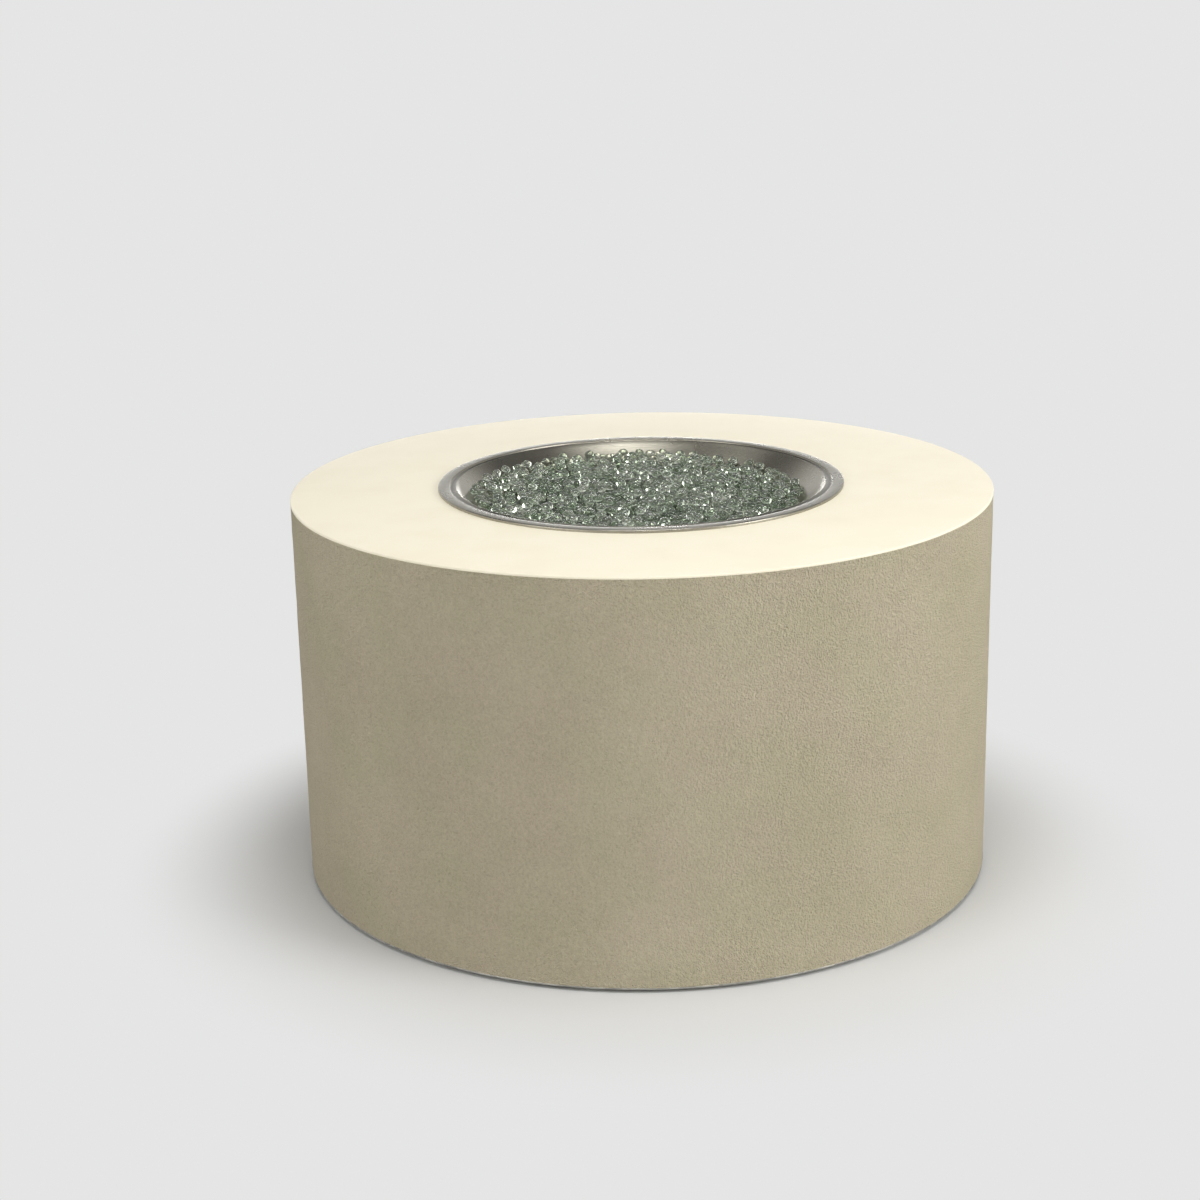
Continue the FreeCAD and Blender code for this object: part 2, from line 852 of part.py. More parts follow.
def frame_clips():
    """Bent plates that tie the joists to the top track and the headers to the joists."""
    low = joist_low + frame_sheet + clip_margin
    high = top_board_low - frame_sheet - clip_margin
    tie_x = joist_face_out + frame_sheet / 2
    tab_radius = face_distance(track_inner - fit_gap, clip_tab_half) - frame_sheet / 2
    reach = math.hypot(tab_radius, clip_tab_half)
    turn = math.asin(tie_x / reach) + math.atan(clip_tab_half / tab_radius)
    across = V(math.cos(turn), -math.sin(turn), 0) * clip_tab_half
    middle = V(math.sin(turn), math.cos(turn), 0) * tab_radius
    tie = [V(tie_x, joist_half - clip_leg, 0), middle - across, middle + across]
    header_x = joist_face_in - frame_sheet / 2
    header_y = joist_face_out + frame_sheet / 2
    angle_corner = V(header_x, header_y, 0)
    angle = [angle_corner + V(0, clip_leg, 0), angle_corner, angle_corner - V(clip_leg, 0, 0)]
    clips = []
    for points in (tie, angle):
        for side_x in (-1, 1):
            for side_y in (-1, 1):
                line = [V(point.x * side_x, point.y * side_y, low) for point in points]
                section = strip(line, [0, sheet_bend, 0], frame_sheet, UP)
                clips.append(extruded(section, V(0, 0, high - low)))
    return group(clips)


# Heat shield between the pan and the gas bottle


def shield_screw_places():
    """Distances along the joists of the heat shield screws."""
    return [shield_front + shield_screw_inset, shield_flange_back - shield_screw_inset]


def shield_screw(side, y, radius, start, end):
    """Round bar on the line of one heat shield screw."""
    height = (joist_low + shield_flange_high) / 2
    return rod(radius, V(side * start, y, height), V(side * end, y, height))


def shield_screw_holes():
    """Holes in the joist webs and the shield flanges."""
    holes = []
    radius = frame_screw_radius + screw_gap
    start = joist_face_in - frame_screw_length
    end = joist_x + frame_screw_length
    for side in (-1, 1):
        for y in shield_screw_places():
            holes.append(shield_screw(side, y, radius, start, end))
    return group(holes)


def heat_shield():
    """Bent steel plate with a flange on each joist."""
    edge = joist_face_in - shield_sheet / 2
    middle = shield_level + shield_sheet / 2
    points = [
        V(-edge, shield_front, shield_flange_high),
        V(-edge, shield_front, middle),
        V(edge, shield_front, middle),
        V(edge, shield_front, shield_flange_high),
    ]
    section = strip(points, [0, sheet_bend, sheet_bend, 0], shield_sheet, V(0, 1, 0))
    tray = extruded(section, V(0, shield_flange_back - shield_front, 0))
    half = edge - sheet_bend
    tail_corner = V(-half, shield_flange_back, shield_level)
    tail = block(tail_corner, V(half, shield_back, shield_level + shield_sheet))
    return tray.fuse(tail).cut(shield_screw_holes())


def heat_shield_screws():
    """Screws from the inside through the shield flanges into the joists."""
    screws = []
    seat = joist_face_in - shield_sheet
    for side in (-1, 1):
        for y in shield_screw_places():
            head = shield_screw(side, y, frame_screw_head, seat - frame_screw_head_height, seat)
            shank = shield_screw(side, y, frame_screw_radius, seat, seat + frame_screw_length)
            screws.append(head.fuse(shank))
    return group(screws)


def cylinder_locator_ring():
    """Ring on the base that keeps the gas bottle in place."""
    low = V(0, bottle_y, base_high)
    high = V(0, bottle_y, base_high + locator_height)
    return tube(locator_inner_radius + locator_thickness, locator_inner_radius, low, high)


# Burner pan, burner and gas train under it


def pan_line():
    """Line along the middle of the pan's sheet, from the centre hole to the edge of the lip."""
    ridge = V(bowl_rim_radius + ridge_height / math.tan(slope), 0, table_height + ridge_height)
    ledge = table_height + ledge_height
    lip_top = table_height + pan_lip_height - pan_sheet / 2
    points = [
        V(pan_hole_radius, 0, pan_floor),
        V(bowl_corner_radius, 0, pan_floor),
        ridge,
        V(ridge.x + ridge_fall_run, 0, ledge),
        V(lip_middle_in, 0, ledge),
        V(lip_middle_in, 0, lip_top),
        V(lip_middle_out, 0, lip_top),
        V(lip_middle_out, 0, table_height),
    ]
    bends = [0, bowl_bend, ridge_bend, sheet_bend, ledge_bend, sheet_bend, sheet_bend, 0]
    return points, bends


def burner_pan():
    """Pressed stainless pan: lip, ledge, raised ridge and shallow bowl with a centre hole."""
    points, bends = pan_line()
    return lathe(strip(points, bends, pan_sheet, V(0, 1, 0)))


def burner_nipple():
    """Threaded pipe through the pan floor, from the burner hub to the air mixer."""
    return ring(nipple_bore, nipple_radius, nipple_low, hub_low)


def pan_locknuts():
    """Nuts on the nipple above and below the pan floor."""
    bore = nipple_radius + running_gap
    upper = hexagon(pan_nut_flats, bore, V(0, 0, pan_floor_top), V(0, 0, hub_low))
    lower = hexagon(pan_nut_flats, bore, V(0, 0, pan_floor_under - pan_nut_height), V(0, 0, pan_floor_under))
    return group([upper, lower])


def burner_core(ring_tube, spoke_tube):
    """Rings and spokes filled solid, for tubes of given radii."""
    level = V(0, 0, burner_level)
    across = V(burner_ring_radius, 0, 0)
    along = V(0, burner_ring_radius, 0)
    body = Part.makeTorus(burner_ring_radius, ring_tube, level)
    body = body.fuse(Part.makeTorus(burner_inner_radius, ring_tube, level))
    spokes = [rod(spoke_tube, level - reach, level + reach) for reach in (across, along)]
    return body.fuse(spokes)


def burner_ports():
    """Gas ports along the top of both rings."""
    ports = []
    for radius, count in ((burner_ring_radius, outer_port_count), (burner_inner_radius, inner_port_count)):
        for index in range(count):
            start = V(0, -radius, burner_level)
            port = rod(port_radius, start, start + V(0, 0, burner_tube_radius + beyond))
            ports.append(placed(port, (index + 0.5) * full_turn / count))
    return ports


def burner_ring():
    """Double burner ring of steel tube with gas ports, on a hub."""
    hub_top = burner_level + burner_tube_radius + burner_wall
    body = burner_core(burner_tube_radius, spoke_radius)
    body = body.fuse(rod(burner_hub_radius, V(0, 0, hub_low), V(0, 0, hub_top)))
    spoke_hollow = spoke_radius - burner_wall
    chamber = V(0, 0, spoke_hollow + burner_wall / 2)
    level = V(0, 0, burner_level)
    hollow = burner_core(burner_tube_radius - burner_wall, spoke_hollow)
    hollow = hollow.fuse(rod(hub_chamber_radius, level - chamber, level + chamber))
    hollow = hollow.fuse(rod(nipple_bore, V(0, 0, hub_low - beyond), level))
    return body.cut(hollow).cut(burner_ports())


def air_mixer():
    """Cast mixer on the lower end of the nipple, with air holes round its throat."""
    body = rod(mixer_radius, V(0, 0, mixer_low), V(0, 0, mixer_high))
    grip = rod(nipple_radius + running_gap, V(0, 0, mixer_high - mixer_grip), V(0, 0, mixer_high + beyond))
    throat = rod(mixer_bore, V(0, 0, mixer_low + spud_thread_length), V(0, 0, mixer_high))
    thread = rod(spud_thread_radius + screw_gap, V(0, 0, mixer_low - beyond), V(0, 0, mixer_high))
    cutters = [grip, throat, thread]
    for index in range(air_hole_count):
        level = mixer_low + air_hole_rise
        hole = rod(air_hole_radius, V(0, 0, level), V(0, -mixer_radius - beyond, level))
        cutters.append(placed(hole, index * full_turn / air_hole_count))
    return body.cut(cutters)


def air_shutter():
    """Sleeve that turns on the mixer to open or close its air holes."""
    level = mixer_low + air_hole_rise
    inner = mixer_radius + running_gap
    low = level - shutter_height / 2
    sleeve = ring(inner, inner + shutter_wall, low, low + shutter_height)
    windows = []
    for index in range(air_hole_count):
        window = rod(air_hole_radius, V(0, 0, level), V(0, -mixer_radius - shutter_wall - beyond, level))
        windows.append(placed(window, index * full_turn / air_hole_count))
    return sleeve.cut(windows)


def flare_end(tip, base):
    """Male flare thread from a base to a tip, coned at the tip."""
    along = (tip - base).normalize()
    cone_length = flare_radius - flare_bore - pipe_wall
    shoulder = tip - along * cone_length
    cone = Part.makeCone(flare_radius, flare_radius - cone_length, cone_length, shoulder, along)
    return rod(flare_radius, base, shoulder).fuse(cone)


def orifice_spud():
    """Brass spud with the gas jet, screwed up into the mixer, flare thread down."""
    spud = rod(spud_thread_radius, V(0, 0, mixer_low), V(0, 0, mixer_low + spud_thread_length))
    spud = spud.fuse(hexagon(spud_flats, jet_radius, V(0, 0, spud_low), V(0, 0, mixer_low)))
    spud = spud.fuse(flare_end(V(0, 0, spud_tip), V(0, 0, spud_low)))
    bore = rod(flare_bore, V(0, 0, spud_tip - beyond), V(0, 0, mixer_low))
    jet = rod(jet_radius, V(0, 0, spud_low), V(0, 0, mixer_low + spud_thread_length + beyond))
    return spud.cut([bore, jet])


def feed_pipe():
    """Bent pipe from the valve to the spud."""
    points = [
        V(0, ball_y, outlet_tip),
        V(0, ball_y, pipe_level),
        V(0, 0, pipe_level),
        V(0, 0, spud_tip),
    ]
    bends = [0, pipe_bend, pipe_bend, 0]
    return placed(round_pipe(points, bends, pipe_radius, pipe_radius - pipe_wall), valve_azimuth)


def flare_nut(tip, along):
    """Nut over a flare tip, gripping the thread and the pipe."""
    start = tip - along * flare_nut_grip
    end = start + along * flare_nut_length
    nut = hexagon(flare_nut_flats, pipe_radius + screw_gap, start, end)
    return nut.cut(rod(flare_radius + screw_gap, start - along * beyond, tip))


def feed_pipe_nuts():
    """Flare nuts at both ends of the feed pipe."""
    upper = flare_nut(V(0, 0, spud_tip), V(0, 0, -1))
    lower = flare_nut(V(0, ball_y, outlet_tip), UP)
    return group([placed(upper, valve_azimuth), placed(lower, valve_azimuth)])


# Key valve, modelled at the front and turned to its azimuth


def valve_body():
    """Brass body with upright ports and a neck towards the wall."""
    centre = V(0, ball_y, valve_height)
    hub = V(0, 0, valve_hub_half)
    body = rod(valve_body_radius, centre - V(0, 0, valve_body_half), centre + V(0, 0, valve_body_half))
    body = body.fuse(rod(valve_hub_radius, centre - hub, centre + hub))
    body = body.fuse(rod(valve_neck_radius, centre, V(0, neck_end_y, valve_height)))
    seat_space = V(0, 0, seat_outer_half)
    stub = V(0, 0, valve_hub_half - adapter_stub_length)
    cutters = [
        Part.makeSphere(ball_radius + ball_cavity_gap, centre),
        rod(seat_radius + screw_gap, centre - seat_space, centre + seat_space),
        rod(ball_bore, centre - hub, centre + hub),
        rod(adapter_stub_radius + screw_gap, centre + stub, centre + hub + V(0, 0, beyond)),
        rod(adapter_stub_radius + screw_gap, centre - stub, centre - hub - V(0, 0, beyond)),
        rod(stem_radius + ball_cavity_gap, centre, V(0, bonnet_y, valve_height)),
        rod(valve_neck_bore, V(0, bonnet_y, valve_height), V(0, neck_end_y - beyond, valve_height)),
    ]
    return placed(body.cut(cutters), valve_azimuth)


def valve_ball():
    """Ball, shut at rest: its bore lies across the flow."""
    centre = V(0, ball_y, valve_height)
    reach = ball_radius + beyond
    bore = rod(ball_bore, centre - V(reach, 0, 0), centre + V(reach, 0, 0))
    slot_half = stem_tang / 2 + running_gap
    slot_y = ball_y - ball_radius
    slot = block(
        V(-reach, slot_y - beyond, valve_height - slot_half),
        V(reach, slot_y + stem_slot_depth, valve_height + slot_half),
    )
    ball = Part.makeSphere(ball_radius, centre)
    ball.rotate(centre, UP, full_turn / 4)
    return placed(ball.cut([bore, slot]), valve_azimuth)


def valve_seats():
    """Two plastic seats that seal on the ball."""
    centre = V(0, ball_y, valve_height)
    ball = Part.makeSphere(ball_radius + running_gap, centre)
    seats = []
    for side in (-1, 1):
        start = centre + V(0, 0, side * seat_inner_half)
        end = centre + V(0, 0, side * seat_outer_half)
        seats.append(placed(tube(seat_radius, ball_bore, start, end).cut(ball), valve_azimuth))
    return group(seats)


def valve_stem():
    """Stem with a tang in the ball and a square end for the key."""
    tang_y = ball_y - ball_radius + stem_slot_depth - running_gap
    square_y = bonnet_y - bonnet_length - screw_gap
    stem = rod(stem_radius, V(0, tang_y, valve_height), V(0, square_y, valve_height))
    shoulder_y = ball_y - ball_radius - ball_cavity_gap
    wide = stem_radius + beyond
    for low, high in ((-wide, -stem_tang / 2), (stem_tang / 2, wide)):
        waste_low = V(-wide, shoulder_y, valve_height + low)
        stem = stem.cut(block(waste_low, V(wide, tang_y + beyond, valve_height + high)))
    half = stem_square / 2
    square = block(
        V(-half, square_y - stem_square_length, valve_height - half),
        V(half, square_y, valve_height + half),
    )
    return placed(stem.fuse(square), valve_azimuth)


def stem_bonnet():
    """Threaded ring that closes the neck round the stem."""
    start = V(0, bonnet_y, valve_height)
    end = V(0, bonnet_y - bonnet_length, valve_height)
    return placed(tube(valve_neck_bore - screw_gap, stem_radius + running_gap, start, end), valve_azimuth)


def flare_adapter(side):
    """Fitting in one port of the valve: stub, hexagon and male flare."""
    centre = V(0, ball_y, valve_height)
    stub_start = centre + V(0, 0, side * (valve_hub_half - adapter_stub_length))
    hex_start = centre + V(0, 0, side * valve_hub_half)
    hex_end = hex_start + V(0, 0, side * adapter_hex_height)
    tip = hex_end + V(0, 0, side * flare_length)
    fitting = rod(adapter_stub_radius, stub_start, hex_start)
    fitting = fitting.fuse(hexagon(adapter_flats, flare_bore, hex_start, hex_end))
    fitting = fitting.fuse(flare_end(tip, hex_end))
    out = V(0, 0, side * beyond)
    return placed(fitting.cut(rod(flare_bore, stub_start - out, tip + out)), valve_azimuth)


# Key place in the wall


def key_escutcheon():
    """Round flange on the wall with a sleeve through it to the valve neck."""
    flange_y = -drum_radius - fit_gap - escutcheon_thickness
    sleeve_end = neck_end_y + sleeve_overlap
    in_wall = V(0, -drum_radius + beyond, valve_height)
    flange = rod(escutcheon_radius, in_wall, V(0, flange_y, valve_height))
    flange = flange.cut(Part.makeCylinder(drum_radius + fit_gap, table_height))
    sleeve = rod(sleeve_radius, V(0, sleeve_end, valve_height), V(0, flange_y + fit_gap, valve_height))
    bore = rod(sleeve_bore, V(0, sleeve_end + beyond, valve_height), V(0, -drum_radius, valve_height))
    hole = rod(key_radius + fit_gap, in_wall, V(0, flange_y - beyond, valve_height))
    return placed(flange.fuse(sleeve).cut([bore, hole]), valve_azimuth)


def sleeve_locknut():
    """Nut on the sleeve, tight against the inside of the wall."""
    corner = sleeve_nut_flats / math.sqrt(3)
    start = V(0, fit_gap - face_distance(board_inner, corner), valve_height)
    end = start + V(0, sleeve_nut_height, 0)
    return placed(hexagon(sleeve_nut_flats, sleeve_radius + running_gap, start, end), valve_azimuth)


def valve_key():
    """Loose key: rod with a square socket and a cross bar."""
    start_y = bonnet_y - bonnet_length - screw_gap * 2 - fit_gap
    end_y = -drum_radius - key_reach
    end = V(0, end_y, valve_height)
    key = rod(key_radius, V(0, start_y, valve_height), end)
    bar = V(key_bar_length / 2, 0, 0)
    key = key.fuse(rod(key_bar_radius, end - bar, end + bar))
    half = stem_square / 2 + screw_gap
    deep = stem_square_length + fit_gap * 2
    socket_low = V(-half, start_y - deep, valve_height - half)
    socket = block(socket_low, V(half, start_y + beyond, valve_height + half))
    return placed(key.cut(socket), valve_azimuth)


# Lava rock and fire glass


def fill_outline(low_radius, low, high, crown):
    """Outline of a layer in the bowl: level or crowned on top, following the bowl below."""
    edge = bowl_radius(high, fit_gap)
    low_edge = bowl_radius(max(low, bowl_height(0, fit_gap)), fit_gap)
    start = V(low_radius, 0, low)
    turn_in = V(low_edge, 0, low)
    turn_out = V(edge, 0, high)
    middle_radius = (low_edge + edge) / 2
    middle = V(middle_radius, 0, bowl_height(middle_radius, fit_gap))
    top = V(low_radius, 0, high + crown)
    edges = [
        Part.LineSegment(start, turn_in).toShape(),
        Part.Arc(turn_in, middle, turn_out).toShape(),
    ]
    if crown:
        dome = (edge**2 + crown**2) / (2 * crown)
        dome_middle = V(edge / 2, 0, high + crown - dome + math.sqrt(dome**2 - (edge / 2) ** 2))
        edges.append(Part.Arc(turn_out, dome_middle, top).toShape())
    else:
        edges.append(Part.LineSegment(turn_out, top).toShape())
    edges.append(Part.LineSegment(top, start).toShape())
    return Part.Wire(edges)


def lava_rock_fill():
    """Lava rock under the glass, packed round the burner."""
    rock_low = bowl_height(0, fit_gap)
    rock = lathe(fill_outline(rock_inner_radius, rock_low, rock_top, 0))
    gap = burner_tube_radius + fit_gap
    low = burner_level - gap
    slots = []
    for radius in (burner_ring_radius, burner_inner_radius):
        slots.append(ring(radius - gap, radius + gap, low, rock_top + beyond))
    reach = burner_ring_radius
    for turn in (0, full_turn / 4):
        slots.append(placed(block(V(-gap, -reach, low), V(gap, reach, rock_top + beyond)), turn))
    return rock.cut(slots)


def fire_glass_bed():
    """Heap of fire glass, its underside level over the lava rock."""
    edge_high = rock_top + glass_edge_rise
    return lathe(fill_outline(0, glass_low, edge_high, glass_crown))


# Service door: frame, seal, door and hinges


def back_sector(inner, outer, low, high, half):
    """Part of a ring centred on the service door."""
    return sector(inner, outer, low, high, back_azimuth - half, back_azimuth + half)


def door_frame():
    """Steel liner of the doorway with a stop flange behind the door."""
    frame = back_sector(stop_radius, drum_radius, frame_low, frame_high, frame_outer_half)
    outside = drum_radius + beyond
    recess = back_sector(stop_outer, outside, frame_inner_low, frame_inner_high, frame_inner_half)
    opening = back_sector(stop_radius - beyond, stop_outer + beyond, doorway_low, doorway_high, clear_half)
    return frame.cut([recess, opening, hinge_screw_holes(-1, frame_leaf_screw_length + beyond)])


def door_seal():
    """Flat foam seal on the stop flange."""
    start_half = clear_half + arc_angle(seal_inset, stop_outer)
    end_half = start_half + arc_angle(seal_width, stop_outer)
    low = doorway_low - seal_inset
    high = doorway_high + seal_inset
    outer = back_sector(stop_outer, seal_outer, low - seal_width, high + seal_width, end_half)
    inner = back_sector(stop_outer - beyond, seal_outer + beyond, low, high, start_half)
    return outer.cut(inner)


def door_pan():
    """Curved steel door skin with its edges turned in."""
    pan = back_sector(door_pan_inner, board_outer, door_low, door_high, door_half)
    inner_half = door_half - arc_angle(door_sheet, board_outer)
    skin_inner = board_outer - door_sheet
    low = door_low + door_sheet
    hollow = back_sector(door_pan_inner - beyond, skin_inner, low, door_high - door_sheet, inner_half)
    return pan.cut([hollow, hinge_screw_holes(1, door_leaf_screw_length + beyond), pull_screw_holes()])


def door_stucco():
    """Stucco coat on the door, level with the wall."""
    coat = back_sector(stucco_inner, drum_radius, door_low, door_high, door_half)
    return coat.cut([hinge_screw_holes(1, door_leaf_screw_length + beyond), pull_screw_holes()])


def knuckle_spans(hinge_height):
    """Lower and upper end of each knuckle of one hinge, from the bottom up."""
    pitch = hinge_length / knuckle_count
    low = hinge_height - hinge_length / 2
    spans = []
    for index in range(knuckle_count):
        start = low + index * pitch + knuckle_gap / 2
        spans.append((start, start + pitch - knuckle_gap))
    return spans


def hinge_leaf(side, hinge_height):
    """One leaf with its knuckles. The frame leaf is side -1 and has the end knuckles."""
    low = hinge_height - hinge_length / 2
    first = arc_angle(hinge_leaf_relief, leaf_outer)
    last = arc_angle(hinge_leaf_width, leaf_outer)
    angles = sorted([side * first, side * last])
    leaf = sector(leaf_inner, leaf_outer, low, low + hinge_length, *angles)
    for index, (start, end) in enumerate(knuckle_spans(hinge_height)):
        if (index % 2 == 0) == (side < 0):
            tab = sector(leaf_inner, leaf_outer, start, end, *sorted([0, side * first]))
            knuckle = rod(knuckle_radius, V(0, -knuckle_centre, start), V(0, -knuckle_centre, end))
            leaf = leaf.fuse([tab, knuckle])
    bore = hinge_pin_radius + running_gap
    pin_low = V(0, -knuckle_centre, low - beyond)
    pin_hole = rod(bore, pin_low, pin_low + V(0, 0, hinge_length + 2 * beyond))
    leaf = placed(leaf.cut(pin_hole), hinge_azimuth)
    return leaf.cut(hinge_screw_holes(side, frame_leaf_screw_length))


def hinge_leaves(side):
    """The leaves on one side of both hinges."""
    return group([hinge_leaf(side, hinge_height) for hinge_height in (hinge_low, hinge_high)])


def hinge_pins():
    """Pins of both hinges, with a cap at each end."""
    pins = []
    for hinge_height in (hinge_low, hinge_high):
        low = V(0, -knuckle_centre, hinge_height - hinge_length / 2)
        high = low + V(0, 0, hinge_length)
        cap = V(0, 0, hinge_cap_height)
        pin = rod(hinge_pin_radius, low, high)
        pin = pin.fuse([rod(knuckle_radius, low - cap, low), rod(knuckle_radius, high, high + cap)])
        pins.append(placed(pin, hinge_azimuth))
    return group(pins)


def wall_screws(places, seat_radius_out, length):
    """Pan head screws that point at the centre line, their heads on an outside surface."""
    screws = []
    for azimuth, height in places:
        seat = V(0, -seat_radius_out, height)
        head = rod(hinge_screw_head, seat, seat - V(0, hinge_screw_head_height, 0))
        shank = rod(hinge_screw_radius, seat, seat + V(0, length, 0))
        screws.append(placed(head.fuse(shank), azimuth))
    return group(screws)


def hinge_frame_screws():
    """Screws of the frame leaves, through the wall into the jamb stud."""
    return wall_screws(hinge_screw_places(-1), leaf_outer, frame_leaf_screw_length)


def hinge_door_screws():
    """Screws of the door leaves."""
    return wall_screws(hinge_screw_places(1), leaf_outer, door_leaf_screw_length)


# Door pull and magnetic catch


def pull_plate():
    """Curved plate on the door with two ears for the bail."""
    half = arc_angle(pull_plate_width / 2, leaf_inner)
    low = pull_height - pull_plate_height / 2
    plate = sector(leaf_inner, pull_face, low, low + pull_plate_height, -half, half)
    for side in (-1, 1):
        near = bail_ear_middle - bail_ear_half
        far = bail_ear_middle + bail_ear_half
        pivot_near = V(side * near, bail_pivot_y, bail_pivot_height)
        pivot_far = V(side * far, bail_pivot_y, bail_pivot_height)
        start = min(side * near, side * far)
        arm = block(
            V(start, bail_pivot_y, bail_pivot_height - bail_ear_radius),
            V(start + 2 * bail_ear_half, -leaf_inner - fit_gap, bail_pivot_height + bail_ear_radius),
        )
        plate = plate.fuse([arm, rod(bail_ear_radius, pivot_near, pivot_far)])
    reach = V(pull_plate_width, 0, 0)
    pivot = V(0, bail_pivot_y, bail_pivot_height)
    bore = rod(bail_radius + running_gap, pivot - reach, pivot + reach)
    plate = placed(plate.cut(bore), pull_azimuth)
    return plate.cut(pull_screw_holes())


def pull_screws():
    """Screws of the pull plate."""
    return wall_screws(pull_screw_places(), pull_face, door_leaf_screw_length)


def pull_bail():
    """Bent rod that hangs in the ears and lifts for pulling."""
    half = bail_width / 2
    end = bail_ear_middle - bail_ear_half - screw_gap * 5
    high = bail_pivot_height
    low = bail_pivot_height - bail_drop
    points = [
        V(-end, bail_pivot_y, high),
        V(-half, bail_pivot_y, high),
        V(-half, bail_pivot_y, low),
        V(half, bail_pivot_y, low),
        V(half, bail_pivot_y, high),
        V(end, bail_pivot_y, high),
    ]
    bends = [0, bail_end_bend, bail_bend, bail_bend, bail_end_bend, 0]
    path = rounded_wire(points, bends, False)
    profile = Part.Wire(Part.Circle(points[0], V(1, 0, 0), bail_radius).toShape())
    return placed(positive(path.makePipeShell([profile], True, False)), pull_azimuth)


def catch_magnet():
    """Magnet block at the latch edge of the doorway."""
    far = back_azimuth + clear_half
    near = far - arc_angle(catch_width, stop_outer)
    low = pull_height - catch_height / 2
    return sector(seal_outer - catch_depth, seal_outer, low, low + catch_height, near, far)


def catch_strike():
    """Bent steel strike inside the door, facing the magnet."""
    azimuth = back_azimuth + clear_half - arc_angle(catch_width / 2, stop_outer)
    half = (strike_width - strike_thickness) / 2
    low = pull_height - catch_height / 2
    back = -face_distance(board_outer - door_sheet, strike_width / 2) + screw_gap / 2
    face = -door_pan_inner - strike_thickness / 2
    points = [V(-half, back, low), V(-half, face, low), V(half, face, low), V(half, back, low)]
    section = strip(points, [0, sheet_bend, sheet_bend, 0], strike_thickness, UP)
    return placed(extruded(section, V(0, 0, catch_height)), azimuth)


# Vent grilles


def louvre(height, half):
    """One louvre: sloped hood and its two cheeks."""
    root = vent_face - louvre_sheet / 2
    tip = vent_face + louvre_hood - louvre_sheet / 2
    high = height + louvre_slot / 2 + louvre_sheet
    low = height - louvre_slot / 2
    hood_line = strip([V(0, -root, high), V(0, -tip, low)], [0, 0], louvre_sheet, V(1, 0, 0))
    hood = placed(positive(Part.Face(hood_line).revolve(ORIGIN, UP, 2 * half)), -half)
    cheek_points = [V(0, -root, high), V(0, -tip, low), V(0, -root, low)]
    cheek_face = Part.Face(outline(cheek_points))
    cheek_turn = arc_angle(louvre_sheet, vent_face)
    cheek = positive(cheek_face.revolve(ORIGIN, UP, cheek_turn))
    return hood.fuse([placed(cheek, -half), placed(cheek, half - cheek_turn)])


def vent_grille(side):
    """Curved steel grille with louvres, set into the stucco."""
    grille = sector(stucco_inner, vent_face, vent_low, vent_high, -vent_half, vent_half)
    half = vent_half - arc_angle(louvre_side, vent_face)
    slot_half = half - arc_angle(louvre_sheet, vent_face)
    middle = (vent_low + vent_high) / 2
    reach = louvre_pitch * (louvre_count - 1) / 2
    heights = spaced(louvre_count, middle - reach, middle + reach)
    slots = []
    inner = stucco_inner - beyond
    outer = vent_face + beyond
    for height in heights:
        low = height - louvre_slot / 2
        slots.append(sector(inner, outer, low, low + louvre_slot, -slot_half, slot_half))
    grille = grille.cut(slots).fuse([louvre(height, half) for height in heights])
    return placed(grille, side * vent_azimuth).cut(vent_screw_holes(side))


def vent_screws():
    """Screws of both vent grilles."""
    screws = []
    for side in (-1, 1):
        for azimuth, height in vent_screw_places(side):
            seat = V(0, -vent_face, height)
            head = rod(vent_screw_head, seat, seat - V(0, vent_screw_head_height, 0))
            shank = rod(vent_screw_radius, seat, seat + V(0, vent_screw_length, 0))
            screws.append(placed(head.fuse(shank), azimuth))
    return group(screws)


# Files, one for each piece or group of like pieces


def write_piece(name, shape):
    """Check the solids of one piece and write its file."""
    solids = shape.Solids
    for solid in solids:
        if not solid.isValid() or solid.Volume <= 0:
            raise ValueError(name + " has a bad solid")
    whole = solids[0] if len(solids) == 1 else Part.makeCompound(solids)
    whole.exportStep("parts/" + name + ".step")


